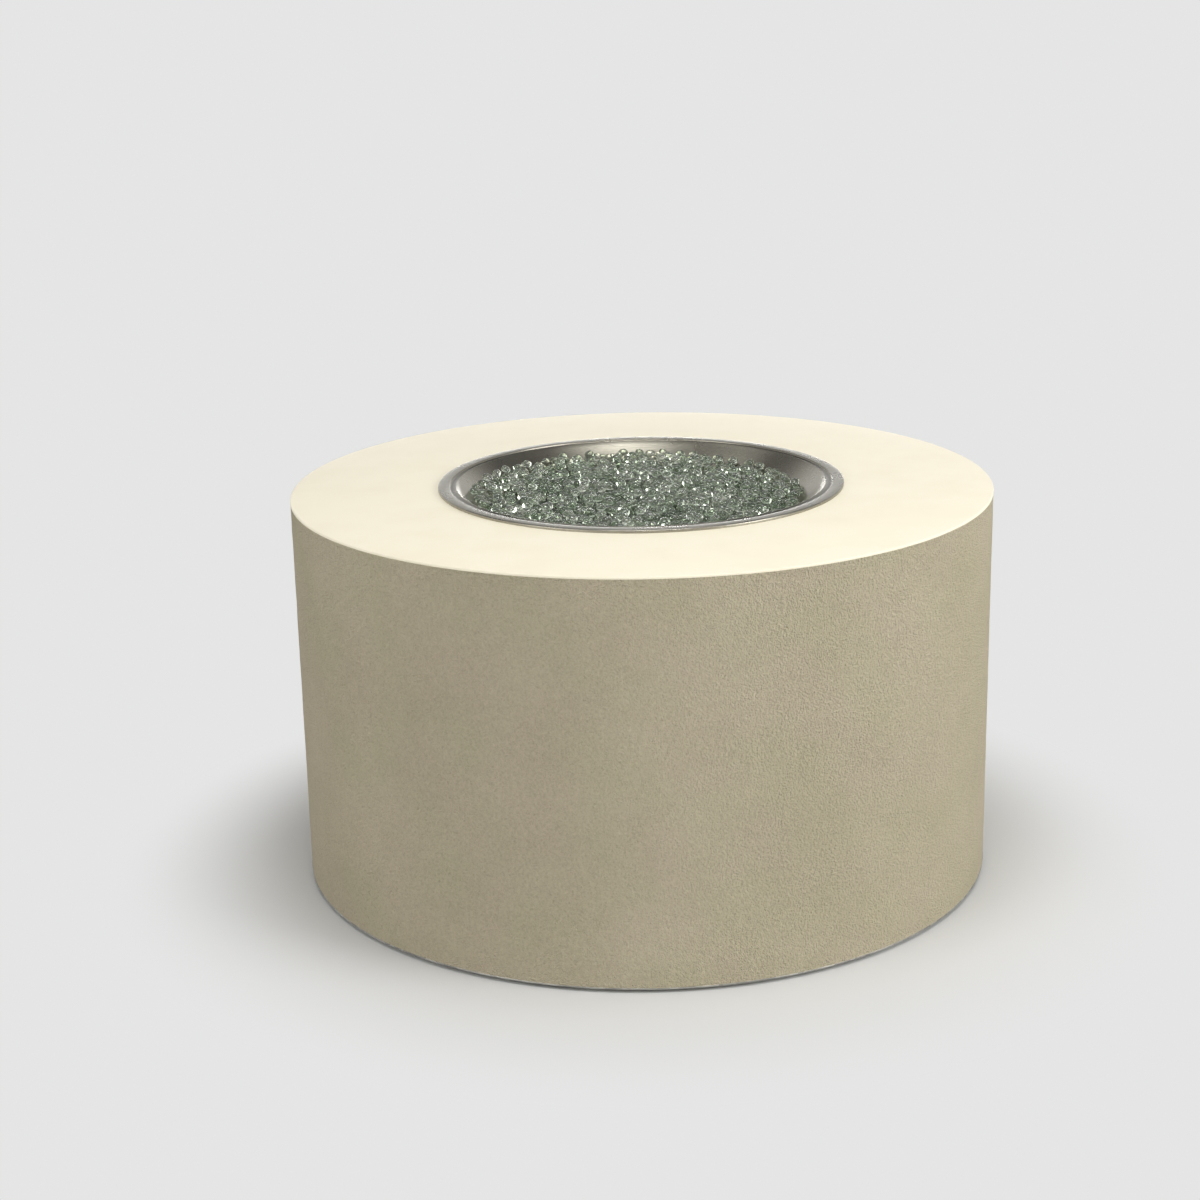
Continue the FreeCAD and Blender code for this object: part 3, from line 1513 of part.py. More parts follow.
pieces = {
    "stucco_coat": stucco_coat(),
    "top_coat": top_coat(),
    "top_board": top_board(),
    "doorway_boards": doorway_boards(),
    "base_edge_bead": base_edge_bead(),
    "base_panel": base_panel(),
    "foot_pads": foot_pads(),
    "foot_screws": foot_screws(),
    "bottom_track": bottom_track(),
    "top_track": top_track(),
    "wall_studs": wall_studs(),
    "stud_screws": stud_screws(),
    "joists": joists(),
    "headers": headers(),
    "frame_clips": frame_clips(),
    "heat_shield": heat_shield(),
    "heat_shield_screws": heat_shield_screws(),
    "cylinder_locator_ring": cylinder_locator_ring(),
    "burner_pan": burner_pan(),
    "burner_ring": burner_ring(),
    "burner_nipple": burner_nipple(),
    "pan_locknuts": pan_locknuts(),
    "air_mixer": air_mixer(),
    "air_shutter": air_shutter(),
    "orifice_spud": orifice_spud(),
    "feed_pipe": feed_pipe(),
    "feed_pipe_nuts": feed_pipe_nuts(),
    "valve_body": valve_body(),
    "valve_ball": valve_ball(),
    "valve_seats": valve_seats(),
    "valve_stem": valve_stem(),
    "stem_bonnet": stem_bonnet(),
    "outlet_adapter": flare_adapter(1),
    "inlet_fitting": flare_adapter(-1),
    "key_escutcheon": key_escutcheon(),
    "sleeve_locknut": sleeve_locknut(),
    "valve_key": valve_key(),
    "lava_rock_fill": lava_rock_fill(),
    "fire_glass_bed": fire_glass_bed(),
    "door_frame": door_frame(),
    "door_seal": door_seal(),
    "door_pan": door_pan(),
    "door_stucco": door_stucco(),
    "hinge_frame_leaves": hinge_leaves(-1),
    "hinge_door_leaves": hinge_leaves(1),
    "hinge_pins": hinge_pins(),
    "hinge_frame_screws": hinge_frame_screws(),
    "hinge_door_screws": hinge_door_screws(),
    "pull_plate": pull_plate(),
    "pull_screws": pull_screws(),
    "pull_bail": pull_bail(),
    "catch_magnet": catch_magnet(),
    "catch_strike": catch_strike(),
    "vent_grille_left": vent_grille(-1),
    "vent_grille_right": vent_grille(1),
    "vent_screws": vent_screws(),
}
for index in range(wall_board_count):
    pieces["wall_board_" + str(index + 1)] = wall_board(index)

os.makedirs("parts", exist_ok=True)
for name, shape in pieces.items():
    write_piece(name, shape)
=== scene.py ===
import math
import random

import bmesh
import bpy
from mathutils import Matrix, Vector, noise


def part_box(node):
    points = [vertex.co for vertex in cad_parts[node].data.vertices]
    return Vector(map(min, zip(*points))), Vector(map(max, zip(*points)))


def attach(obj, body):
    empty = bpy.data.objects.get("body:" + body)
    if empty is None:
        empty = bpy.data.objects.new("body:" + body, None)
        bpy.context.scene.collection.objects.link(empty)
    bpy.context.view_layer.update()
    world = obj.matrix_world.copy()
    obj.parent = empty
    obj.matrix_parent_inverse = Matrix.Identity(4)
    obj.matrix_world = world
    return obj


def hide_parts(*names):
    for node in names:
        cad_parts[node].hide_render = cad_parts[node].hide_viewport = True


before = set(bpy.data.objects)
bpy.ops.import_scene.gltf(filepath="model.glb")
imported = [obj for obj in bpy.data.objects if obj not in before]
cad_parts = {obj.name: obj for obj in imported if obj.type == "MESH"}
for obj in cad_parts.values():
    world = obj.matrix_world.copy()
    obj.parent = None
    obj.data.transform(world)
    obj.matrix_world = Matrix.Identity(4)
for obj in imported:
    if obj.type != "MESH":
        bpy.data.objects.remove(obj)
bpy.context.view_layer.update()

# Camera: a long lens in front of the table, a little above its top, so that the top
# shows as a flat ellipse and the glass in the pan can be seen. It was fitted to the
# outline of the drum and to the lip of the pan.
camera_place = Vector((0.0, -3.3279, 1.3875))
camera_pitch = 0.2857
camera_yaw = -0.0199
camera_roll = -0.0215
camera_lens = 66.8
camera_sensor = 36.0

camera_data = bpy.data.cameras.new("front_camera")
camera_data.lens = camera_lens
camera_data.sensor_width = camera_sensor
camera_data.sensor_fit = "HORIZONTAL"
camera = bpy.data.objects.new("front_camera", camera_data)
turn = Matrix.Rotation(-camera_yaw, 4, "Z") @ Matrix.Rotation(math.pi / 2 - camera_pitch, 4, "X")
camera.matrix_world = Matrix.Translation(camera_place) @ turn @ Matrix.Rotation(camera_roll, 4, "Z")
bpy.context.scene.collection.objects.link(camera)
bpy.context.scene.camera = camera
bpy.context.scene.view_settings.view_transform = "Standard"


# Studio: a pale seamless floor that keeps the table's soft shadow, and far from the
# table fades into the backdrop's own pale grey.
backdrop_grey = "#E5E5E5"
floor_white = "#DDDDDB"
floor_radius = 30.0
shadow_near = 0.53    # from here the floor fades, and its shadow with it
shadow_far = 0.85


def linear(colour):
    """Linear red, green, blue and alpha of an sRGB hex colour."""
    channels = [int(colour[start:start + 2], 16) / 255 for start in (1, 3, 5)]
    return tuple(c / 12.92 if c <= 0.04045 else ((c + 0.055) / 1.055) ** 2.4 for c in channels) + (1.0,)


def add_node(tree, kind, inputs=None, **settings):
    """Adds a node with its settings, and sets or links each input that is named."""
    node = tree.nodes.new(kind)
    for name, value in settings.items():
        setattr(node, name, value)
    for name, value in (inputs or {}).items():
        if isinstance(value, bpy.types.NodeSocket):
            tree.links.new(value, node.inputs[name])
        else:
            node.inputs[name].default_value = value
    return node


def new_material(name):
    """An empty material and its node tree."""
    material = bpy.data.materials.new(name)
    material.use_nodes = True
    material.node_tree.nodes.clear()
    return material, material.node_tree


def studio_floor_material():
    """Matte paper white that turns into the flat backdrop grey away from the table."""
    material, tree = new_material("paper_white_floor")
    matte = add_node(tree, "ShaderNodeBsdfDiffuse", {"Color": linear(floor_white)})
    flat = add_node(tree, "ShaderNodeEmission", {"Color": linear(backdrop_grey), "Strength": 1.0})
    where = add_node(tree, "ShaderNodeTexCoord")
    distance = add_node(tree, "ShaderNodeVectorMath", {0: where.outputs["Object"]}, operation="LENGTH")
    fade = add_node(
        tree,
        "ShaderNodeMapRange",
        {"Value": distance.outputs["Value"], "From Min": shadow_near, "From Max": shadow_far},
        interpolation_type="SMOOTHSTEP",
    )
    rays = add_node(tree, "ShaderNodeLightPath")
    seen = add_node(
        tree,
        "ShaderNodeMath",
        {0: rays.outputs["Is Camera Ray"], 1: rays.outputs["Is Glossy Ray"]},
        operation="MAXIMUM",
    )
    seen = add_node(
        tree,
        "ShaderNodeMath",
        {0: seen.outputs[0], 1: rays.outputs["Is Transmission Ray"]},
        operation="MAXIMUM",
    )
    share = add_node(
        tree, "ShaderNodeMath", {0: seen.outputs[0], 1: fade.outputs["Result"]}, operation="MULTIPLY"
    )
    mixed = add_node(
        tree,
        "ShaderNodeMixShader",
        {0: share.outputs[0], 1: matte.outputs["BSDF"], 2: flat.outputs["Emission"]},
    )
    add_node(tree, "ShaderNodeOutputMaterial", {"Surface": mixed.outputs["Shader"]})
    return material


floor_mesh = bmesh.new()
bmesh.ops.create_circle(floor_mesh, cap_ends=True, segments=96, radius=floor_radius)
floor_data = bpy.data.meshes.new("studio_floor")
floor_mesh.to_mesh(floor_data)
floor_mesh.free()
studio_floor = bpy.data.objects.new("studio_floor", floor_data)
studio_floor.data.materials.append(studio_floor_material())
bpy.context.scene.collection.objects.link(studio_floor)


# Lamps: a large soft box high in front lights the top, one on the right brightens the
# drum's side from left to right, a weak one on the left fills it, and a long low panel
# lights the back. Two small weak panels over the pan light the back of the bowl. The
# surround is pale at the horizon and dark overhead, as in a studio.
horizon_top = 0.30      # sine of the height up to which the surround is pale
ceiling_start = 0.62    # sine of the height from which it is the dark ceiling
ceiling_share = 0.15    # brightness of the ceiling beside the horizon's
soft_boxes = {
    "top_box": {"place": (0.2, -0.8, 4.0), "target": (0.0, 0.0, 0.6), "size": (2.0, 1.3), "watts": 64.0},
    "right_box": {"place": (3.4, -1.7, 1.9), "target": (0.0, 0.0, 0.4), "size": (2.0, 2.0), "watts": 79.0},
    "left_fill": {"place": (-2.6, -2.2, 1.9), "target": (0.0, 0.0, 0.3), "size": (2.0, 2.0), "watts": 28.0},
    "back_panel": {"place": (0.0, 5.2, 0.5), "target": (0.0, 0.0, 0.4), "size": (3.0, 0.7), "watts": 62.0},
    "bowl_panel": {"place": (0.2, 0.3, 2.9), "target": (0.1, 0.2, 0.6), "size": (0.7, 0.7), "watts": 1.9},
    "bowl_glow": {"place": (-0.95, 1.15, 2.9), "target": (0.1, 0.2, 0.6), "size": (0.8, 0.8), "watts": 1.1},
}

surround = bpy.data.worlds.new("studio_surround")
surround.use_nodes = True
surround.node_tree.nodes.clear()
facing = add_node(surround.node_tree, "ShaderNodeTexCoord")
height = add_node(surround.node_tree, "ShaderNodeSeparateXYZ", {"Vector": facing.outputs["Generated"]})
level = add_node(
    surround.node_tree,
    "ShaderNodeMapRange",
    {
        "Value": height.outputs["Z"],
        "From Min": horizon_top,
        "From Max": ceiling_start,
        "To Min": 1.0,
        "To Max": ceiling_share,
    },
    interpolation_type="SMOOTHSTEP",
)
surround_light = add_node(
    surround.node_tree,
    "ShaderNodeBackground",
    {"Color": linear(backdrop_grey), "Strength": level.outputs["Result"]},
)
add_node(surround.node_tree, "ShaderNodeOutputWorld", {"Surface": surround_light.outputs["Background"]})
bpy.context.scene.world = surround

for name, box in soft_boxes.items():
    lamp_data = bpy.data.lights.new(name, "AREA")
    lamp_data.shape = "RECTANGLE"
    lamp_data.size, lamp_data.size_y = box["size"]
    lamp_data.energy = box["watts"]
    lamp = bpy.data.objects.new(name, lamp_data)
    lamp.location = box["place"]
    towards = Vector(box["target"]) - Vector(box["place"])
    lamp.rotation_euler = towards.to_track_quat("-Z", "Y").to_euler()
    lamp.visible_camera = False
    bpy.context.scene.collection.objects.link(lamp)


# Stucco side of the drum and of the service door: a sandy cement coat, floated by hand
# over the curved boards. It is matte, with a fine grit and soft patches of tone, and
# it swells and dips a little where the float has passed.
drum_radius = 0.5335
stucco_inner = 0.5268
stucco_cell = 0.0072
stucco_wave_depth = 0.0007
stucco_wave_size = 0.038
stucco_wave_fractal = (1.0, 2.0, 3)    # falling off, ratio of sizes, number of sizes
stucco_grain_size = 0.0045   # coarser than the real 1 mm sand, so that it shows
stucco_fine_size = 0.0021
stucco_grit_depth = 0.0055   # of the bump, drawn coarser like the grain
stucco_patch_size = 0.16
stucco_patch_share = 0.28
stucco_grain_share = 0.42
stucco_tone_base = -0.02     # brings the sum of patch and grain to the middle tone
stucco_stain_size = 0.11
stucco_stain_share = 0.25
stucco_vent_gap = 0.0005
stucco_dark = "#B8AE92"
stucco_mid = "#CDC2A6"
stucco_light = "#DBD1B6"
stucco_blush = "#D3C3AF"     # sand and lime: a little pinker here, a little greener there
stucco_moss = "#C6C0A0"
stucco_low, stucco_high = (corner.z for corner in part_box("stucco_coat"))


def stucco_material():
    """Sand and cement float finish: matte, gritty, with faint patches of tone."""
    material, tree = new_material("floated_sand_stucco")
    where = add_node(tree, "ShaderNodeTexCoord")
    grain = add_node(
        tree,
        "ShaderNodeTexNoise",
        {"Vector": where.outputs["Object"], "Scale": 1 / stucco_grain_size, "Detail": 3.0, "Roughness": 0.6},
    )
    fine = add_node(
        tree,
        "ShaderNodeTexNoise",
        {"Vector": where.outputs["Object"], "Scale": 1 / stucco_fine_size, "Detail": 1.0, "Roughness": 0.5},
    )
    patch = add_node(
        tree,
        "ShaderNodeTexNoise",
        {"Vector": where.outputs["Object"], "Scale": 1 / stucco_patch_size, "Detail": 4.0, "Roughness": 0.55},
    )
    relief = add_node(
        tree, "ShaderNodeMath", {0: grain.outputs["Fac"], 1: fine.outputs["Fac"]}, operation="ADD"
    )
    tone = add_node(
        tree,
        "ShaderNodeMath",
        {0: patch.outputs["Fac"], 1: stucco_patch_share, 2: stucco_tone_base},
        operation="MULTIPLY_ADD",
    )
    tone = add_node(
        tree,
        "ShaderNodeMath",
        {0: relief.outputs[0], 1: stucco_grain_share, 2: tone.outputs[0]},
        operation="MULTIPLY_ADD",
    )
    colours = add_node(tree, "ShaderNodeValToRGB", {"Fac": tone.outputs[0]})
    colours.color_ramp.elements[0].position = 0.36
    colours.color_ramp.elements[0].color = linear(stucco_dark)
    colours.color_ramp.elements[1].position = 0.72
    colours.color_ramp.elements[1].color = linear(stucco_light)
    middle = colours.color_ramp.elements.new(0.54)
    middle.color = linear(stucco_mid)
    stain = add_node(
        tree,
        "ShaderNodeTexNoise",
        {"Vector": where.outputs["Object"], "Scale": 1 / stucco_stain_size, "Detail": 3.0, "Roughness": 0.5},
    )
    hues = add_node(tree, "ShaderNodeValToRGB", {"Fac": stain.outputs["Fac"]})
    hues.color_ramp.elements[0].position = 0.38
    hues.color_ramp.elements[0].color = linear(stucco_moss)
    hues.color_ramp.elements[1].position = 0.62
    hues.color_ramp.elements[1].color = linear(stucco_blush)
    tinted = add_node(
        tree,
        "ShaderNodeMix",
        {0: stucco_stain_share, 6: colours.outputs["Color"], 7: hues.outputs["Color"]},
        data_type="RGBA",
    )
    bump = add_node(
        tree,
        "ShaderNodeBump",
        {"Height": relief.outputs[0], "Strength": 1.0, "Distance": stucco_grit_depth},
    )
    coat = add_node(
        tree,
        "ShaderNodeBsdfPrincipled",
        {
            "Base Color": tinted.outputs[2],
            "Roughness": 0.92,
            "Specular IOR Level": 0.25,
            "Normal": bump.outputs["Normal"],
        },
    )
    add_node(tree, "ShaderNodeOutputMaterial", {"Surface": coat.outputs["BSDF"]})
    return material


def finished_piece(mesh, name, material, body, smooth_angle=math.radians(35)):
    """Makes an object of a bmesh: normals out, smooth shading, material and body."""
    bmesh.ops.recalc_face_normals(mesh, faces=mesh.faces[:])
    for face in mesh.faces:
        face.smooth = True
    for edge in mesh.edges:
        if len(edge.link_faces) == 2 and edge.calc_face_angle(0) > smooth_angle:
            edge.smooth = False
    data = bpy.data.meshes.new(name)
    mesh.to_mesh(data)
    mesh.free()
    data.materials.append(material)
    piece = bpy.data.objects.new(name, data)
    bpy.context.scene.collection.objects.link(piece)
    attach(piece, body)
    return piece


def stepped(stops, cell):
    """Values from stop to stop, evenly spaced in between and no further apart than a cell."""
    values = [stops[0]]
    for start, end in zip(stops, stops[1:]):
        count = max(1, round((end - start) / cell))
        values += [start + (end - start) * step / count for step in range(1, count + 1)]
    return values


def curved_wall(azimuths, heights, radius, cell):
    """Grid on the drum's side between given azimuths and heights, spun about the middle."""
    mesh = bmesh.new()
    rows = stepped(heights, cell)
    start = azimuths[0]
    verts = [mesh.verts.new((radius * math.sin(start), -radius * math.cos(start), z)) for z in rows]
    last = verts + [mesh.edges.new(pair) for pair in zip(verts, verts[1:])]
    for before, after in zip(azimuths, azimuths[1:]):
        steps = max(1, round((after - before) * radius / cell))
        spun = bmesh.ops.spin(
            mesh, geom=last, cent=(0, 0, 0), axis=(0, 0, 1), angle=after - before, steps=steps
        )
        last = spun["geom_last"]
    bmesh.ops.remove_doubles(mesh, verts=mesh.verts[:], dist=cell / 100)
    return mesh


def azimuth_of(point):
    """Azimuth of a point, from the front towards +X, between 0 and a full turn."""
    return math.atan2(point.x, -point.y) % (2 * math.pi)


def cut_windows(mesh, windows):
    """Removes the faces inside windows of azimuth and height."""
    doomed = []
    for face in mesh.faces:
        middle = face.calc_center_median()
        azimuth = azimuth_of(middle)
        for start, end, low, high in windows:
            if start < azimuth < end and low < middle.z < high:
                doomed.append(face)
                break
    bmesh.ops.delete(mesh, geom=doomed, context="FACES")


def float_marks(mesh):
    """Presses the outside in by the shallow waves that the plasterer's float leaves."""
    for vert in mesh.verts:
        wave = noise.fractal(vert.co / stucco_wave_size, *stucco_wave_fractal)
        depth = stucco_wave_depth * min(max(0.5 + 0.5 * wave, 0), 1)
        flat = Vector((vert.co.x, vert.co.y, 0))
        vert.co -= flat.normalized() * depth


def node_window(node, gap):
    """Azimuths and heights that a node at the side or back takes up, with a gap all round."""
    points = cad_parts[node].data.vertices
    azimuths = [azimuth_of(point.co) for point in points]
    low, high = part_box(node)
    turn_gap = gap / drum_radius
    return min(azimuths) - turn_gap, max(azimuths) + turn_gap, low.z - gap, high.z + gap


stucco = stucco_material()
wall_windows = [
    node_window("door_frame", 0.0),
    node_window("vent_grille_left", stucco_vent_gap),
    node_window("vent_grille_right", stucco_vent_gap),
]
wall_stops = sorted([0.0, 2 * math.pi] + [window[side] for window in wall_windows for side in (0, 1)])
level_stops = sorted({stucco_low, stucco_high} | {window[side] for window in wall_windows for side in (2, 3)})
wall = curved_wall(wall_stops, level_stops, drum_radius, stucco_cell)
cut_windows(wall, wall_windows)
float_marks(wall)
bmesh.ops.recalc_face_normals(wall, faces=wall.faces[:])
bmesh.ops.solidify(wall, geom=wall.faces[:], thickness=drum_radius - stucco_inner)
stucco_side = finished_piece(wall, "stucco_side", stucco, "enclosure")
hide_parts("stucco_coat")

door_window = node_window("door_stucco", 0.0)
door_skin = curved_wall(door_window[:2], door_window[2:], drum_radius, stucco_cell)
float_marks(door_skin)
bmesh.ops.recalc_face_normals(door_skin, faces=door_skin.faces[:])
bmesh.ops.solidify(door_skin, geom=door_skin.faces[:], thickness=drum_radius - stucco_inner)
stucco_door = finished_piece(door_skin, "stucco_door", stucco, "door")
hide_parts("door_stucco")


# Top coat: a thin cream coat trowelled smooth over the round top board, with its outside
# edge eased over by hand. The burner pan drops into the hole in its middle.
top_hole_radius = 0.297
top_edge_round = 0.002
turn_steps = 256
top_cream = "#FAF2DB"
top_cream_shade = "#F7EED5"
top_cloud_size = 0.09
top_pore_size = 0.006      # pinholes of about 1 mm, drawn coarser so that they show
top_pore_depth = 0.0006
seam_weld = 1e-6
circle_slack = 1e-5        # how near a corner has to be to the circle that is looked for


def top_coat_material():
    """Smooth trowelled acrylic cement: pale cream, satin, with faint clouds and pores."""
    material, tree = new_material("trowelled_cream_coat")
    where = add_node(tree, "ShaderNodeTexCoord")
    cloud = add_node(
        tree,
        "ShaderNodeTexNoise",
        {"Vector": where.outputs["Object"], "Scale": 1 / top_cloud_size, "Detail": 5.0, "Roughness": 0.6},
    )
    pore = add_node(
        tree,
        "ShaderNodeTexNoise",
        {"Vector": where.outputs["Object"], "Scale": 1 / top_pore_size, "Detail": 2.0, "Roughness": 0.5},
    )
    colours = add_node(tree, "ShaderNodeValToRGB", {"Fac": cloud.outputs["Fac"]})
    colours.color_ramp.elements[0].position = 0.25
    colours.color_ramp.elements[0].color = linear(top_cream_shade)
    colours.color_ramp.elements[1].position = 0.55
    colours.color_ramp.elements[1].color = linear(top_cream)
    gloss = add_node(
        tree, "ShaderNodeMapRange", {"Value": cloud.outputs["Fac"], "To Min": 0.45, "To Max": 0.62}
    )
    bump = add_node(
        tree, "ShaderNodeBump", {"Height": pore.outputs["Fac"], "Strength": 0.12, "Distance": top_pore_depth}
    )
    coat = add_node(
        tree,
        "ShaderNodeBsdfPrincipled",
        {
            "Base Color": colours.outputs["Color"],
            "Roughness": gloss.outputs["Result"],
            "Specular IOR Level": 0.2,
            "Normal": bump.outputs["Normal"],
        },
    )
    add_node(tree, "ShaderNodeOutputMaterial", {"Surface": coat.outputs["BSDF"]})
    return material


def section_line(mesh, points):
    """Open line through points beside the centre line, each a radius and a height."""
    verts = [mesh.verts.new((0, -radius, height)) for radius, height in points]
    return verts + [mesh.edges.new(pair) for pair in zip(verts, verts[1:])]


def spun_round(mesh, line, steps):
    """Spins a line once round the centre and joins the ends."""
    bmesh.ops.spin(
        mesh,
        geom=line,
        cent=(0, 0, 0),
        axis=(0, 0, 1),
        angle=2 * math.pi,
        steps=steps,
        use_merge=True,
    )
    bmesh.ops.remove_doubles(mesh, verts=mesh.verts[:], dist=seam_weld)
    bmesh.ops.recalc_face_normals(mesh, faces=mesh.faces[:])


def ease_edges(mesh, radius, height, offset, segments):
    """Rounds the circle of edges at a radius and a height."""
    circle = [
        edge
        for edge in mesh.edges
        if all(
            abs(math.hypot(vert.co.x, vert.co.y) - radius) < circle_slack
            and abs(vert.co.z - height) < circle_slack
            for vert in edge.verts
        )
    ]
    bmesh.ops.bevel(
        mesh,
        geom=circle,
        offset=offset,
        offset_type="OFFSET",
        segments=segments,
        affect="EDGES",
        profile=0.5,
        material=-1,
    )


top_low, top_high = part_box("top_coat")
top_mesh = bmesh.new()
top_corners = [
    (top_hole_radius, top_low.z),
    (drum_radius, top_low.z),
    (drum_radius, top_high.z),
    (top_hole_radius, top_high.z),
    (top_hole_radius, top_low.z),
]
spun_round(top_mesh, section_line(top_mesh, top_corners), turn_steps)
ease_edges(top_mesh, drum_radius, top_high.z, top_edge_round, segments=4)
cream_top = finished_piece(top_mesh, "cream_top", top_coat_material(), "enclosure")
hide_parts("top_coat")


# Edge bead: a galvanised casing bead round the foot of the wall. The stucco stops on its
# nose, which shows as a thin bright line just above the floor.
bead_inner = 0.5145
bead_nose_inner = 0.5265
bead_nose_high = 0.0075
bead_leg_high = 0.0062
bead_zinc = "#C9C7C0"
bead_zinc_dull = "#8E8D88"
bead_edge_round = 0.0006
spangle_size = 0.014
spangle_contrast = 0.45
spangle_gloss = (-0.08, 0.1)    # how much smoother and rougher than the mean a flake is
cloud_rate = 0.3                # dull clouds for each flake across


def zinc_material(name, bright, dull, roughness, flake):
    """Hot-dip galvanised steel: grey with soft angular spangles, dull in patches."""
    material, tree = new_material(name)
    where = add_node(tree, "ShaderNodeTexCoord")
    spangle = add_node(
        tree, "ShaderNodeTexVoronoi", {"Vector": where.outputs["Object"], "Scale": 1 / flake}, feature="F1"
    )
    shade = add_node(tree, "ShaderNodeSeparateColor", {"Color": spangle.outputs["Color"]})
    cloud = add_node(
        tree,
        "ShaderNodeTexNoise",
        {"Vector": where.outputs["Object"], "Scale": cloud_rate / flake, "Detail": 3.0, "Roughness": 0.5},
    )
    blend = add_node(
        tree,
        "ShaderNodeMath",
        {0: shade.outputs["Red"], 1: spangle_contrast, 2: cloud.outputs["Fac"]},
        operation="MULTIPLY_ADD",
    )
    colours = add_node(tree, "ShaderNodeValToRGB", {"Fac": blend.outputs[0]})
    colours.color_ramp.elements[0].position = 0.35
    colours.color_ramp.elements[0].color = linear(dull)
    colours.color_ramp.elements[1].position = 0.95
    colours.color_ramp.elements[1].color = linear(bright)
    smoothest, roughest = (roughness + change for change in spangle_gloss)
    gloss = add_node(
        tree,
        "ShaderNodeMapRange",
        {"Value": shade.outputs["Green"], "To Min": smoothest, "To Max": roughest},
    )
    metal = add_node(
        tree,
        "ShaderNodeBsdfPrincipled",
        {"Base Color": colours.outputs["Color"], "Metallic": 1.0, "Roughness": gloss.outputs["Result"]},
    )
    add_node(tree, "ShaderNodeOutputMaterial", {"Surface": metal.outputs["BSDF"]})
    return material


bead_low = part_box("base_edge_bead")[0]
bead_mesh = bmesh.new()
bead_corners = [
    (bead_inner, bead_low.z),
    (drum_radius, bead_low.z),
    (drum_radius, bead_nose_high),
    (bead_nose_inner, bead_nose_high),
    (bead_nose_inner, bead_leg_high),
    (bead_inner, bead_leg_high),
    (bead_inner, bead_low.z),
]
spun_round(bead_mesh, section_line(bead_mesh, bead_corners), turn_steps)
for nose_height in (bead_low.z, bead_nose_high):
    ease_edges(bead_mesh, drum_radius, nose_height, bead_edge_round, segments=3)
bead_zinc_material = zinc_material(
    "zinc_edge_bead", bead_zinc, bead_zinc_dull, roughness=0.42, flake=spangle_size
)
edge_bead = finished_piece(bead_mesh, "edge_bead", bead_zinc_material, "enclosure")
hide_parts("base_edge_bead")


# Burner pan: one disc of 1.2 mm stainless sheet, brushed and then pressed: a flat lip that
# lies on the top, a sunk ledge, a raised bead and a shallow bowl with a pipe hole.
pan_sheet = 0.0012
pan_rim_high = 0.597
bowl_flat_radius = 0.0612
bowl_bend_radius = 0.3359
bowl_bend_turn = math.radians(40)
bowl_floor = -0.0794
bowl_steps = 26
pan_hole_radius = 0.0110
# Corners of the sheet's upper face outside the bowl: radius, height over the table top,
# and how far back each corner's rounding starts.
pan_corners = [
    (0.2827, 0.0036, 0.0008),
    (0.2859, 0.0016, 0.0026),
    (0.2924, 0.0016, 0.0016),
    (0.2924, 0.0045, 0.0011),
    (0.3100, 0.0045, 0.0018),
]
pan_hem = (0.3100, 0.0)
steel_bright = "#B8B4A6"
steel_dull = "#9D998C"
# Darker steel tone that is painted into the sunk ledge as shade.
painted_shade_tone = "#68655D"
# Painted shade: a darker steel tone in the sunk ledge and a little on the lip, where the steel should look
# darker: radius, share of the colour.
painted_ledge_shade = [(0.2838, 0.0), (0.2866, 0.8), (0.2914, 0.8), (0.2930, 0.22)]
brush_line = 0.0016        # brushing lines of about 0.1 mm, drawn coarser so that they show
brush_stretch = 50         # how many times longer than wide a line is
smudge_size = 0.07
smudge_gloss = (-0.06, 0.08)


def brushed_steel_material(name, bright, dull, roughness, across, painted_shade_rings=()):
    """Brushed stainless steel: fine parallel lines, a soft sheen and faint smudges."""
    material, tree = new_material(name)
    where = add_node(tree, "ShaderNodeTexCoord")
    lengthwise = add_node(
        tree,
        "ShaderNodeMapping",
        {
            "Vector": where.outputs["Object"],
            "Scale": (1 / (brush_stretch * across), 1 / across, 1 / across),
        },
    )
    lines = add_node(
        tree,
        "ShaderNodeTexNoise",
        {"Vector": lengthwise.outputs["Vector"], "Scale": 1.0, "Detail": 3.0, "Roughness": 0.6},
    )
    smudge = add_node(
        tree,
        "ShaderNodeTexNoise",
        {"Vector": where.outputs["Object"], "Scale": 1 / smudge_size, "Detail": 4.0, "Roughness": 0.55},
    )
    colours = add_node(tree, "ShaderNodeValToRGB", {"Fac": lines.outputs["Fac"]})
    colours.color_ramp.elements[0].position = 0.3
    colours.color_ramp.elements[0].color = linear(dull)
    colours.color_ramp.elements[1].position = 0.7
    colours.color_ramp.elements[1].color = linear(bright)
    finish = colours.outputs["Color"]
    # Painted shade: where rings are given, the steel is mixed towards a darker tone by radius.
    if painted_shade_rings:
        flat = add_node(
            tree,
            "ShaderNodeVectorMath",
            {0: where.outputs["Object"], 1: (1.0, 1.0, 0.0)},
            operation="MULTIPLY",
        )
        from_axis = add_node(tree, "ShaderNodeVectorMath", {0: flat.outputs[0]}, operation="LENGTH")
        painted_shade_share = add_node(tree, "ShaderNodeValToRGB", {"Fac": from_axis.outputs["Value"]})
        stops = painted_shade_share.color_ramp.elements
        for radius, share in painted_shade_rings:
            stops.new(radius).color = (share, share, share, 1.0)
        stops.remove(stops[-1])
        stops.remove(stops[0])
        darkened = add_node(
            tree,
            "ShaderNodeMix",
            {0: painted_shade_share.outputs["Color"], 6: finish, 7: linear(painted_shade_tone)},
            data_type="RGBA",
        )
        finish = darkened.outputs[2]
    smoothest, roughest = (roughness + change for change in smudge_gloss)
    gloss = add_node(
        tree,
        "ShaderNodeMapRange",
        {"Value": smudge.outputs["Fac"], "To Min": smoothest, "To Max": roughest},
    )
    metal = add_node(
        tree,
        "ShaderNodeBsdfPrincipled",
        {
            "Base Color": finish,
            "Metallic": 1.0,
            "Roughness": gloss.outputs["Result"],
        },
    )
    add_node(tree, "ShaderNodeOutputMaterial", {"Surface": metal.outputs["BSDF"]})
    return material


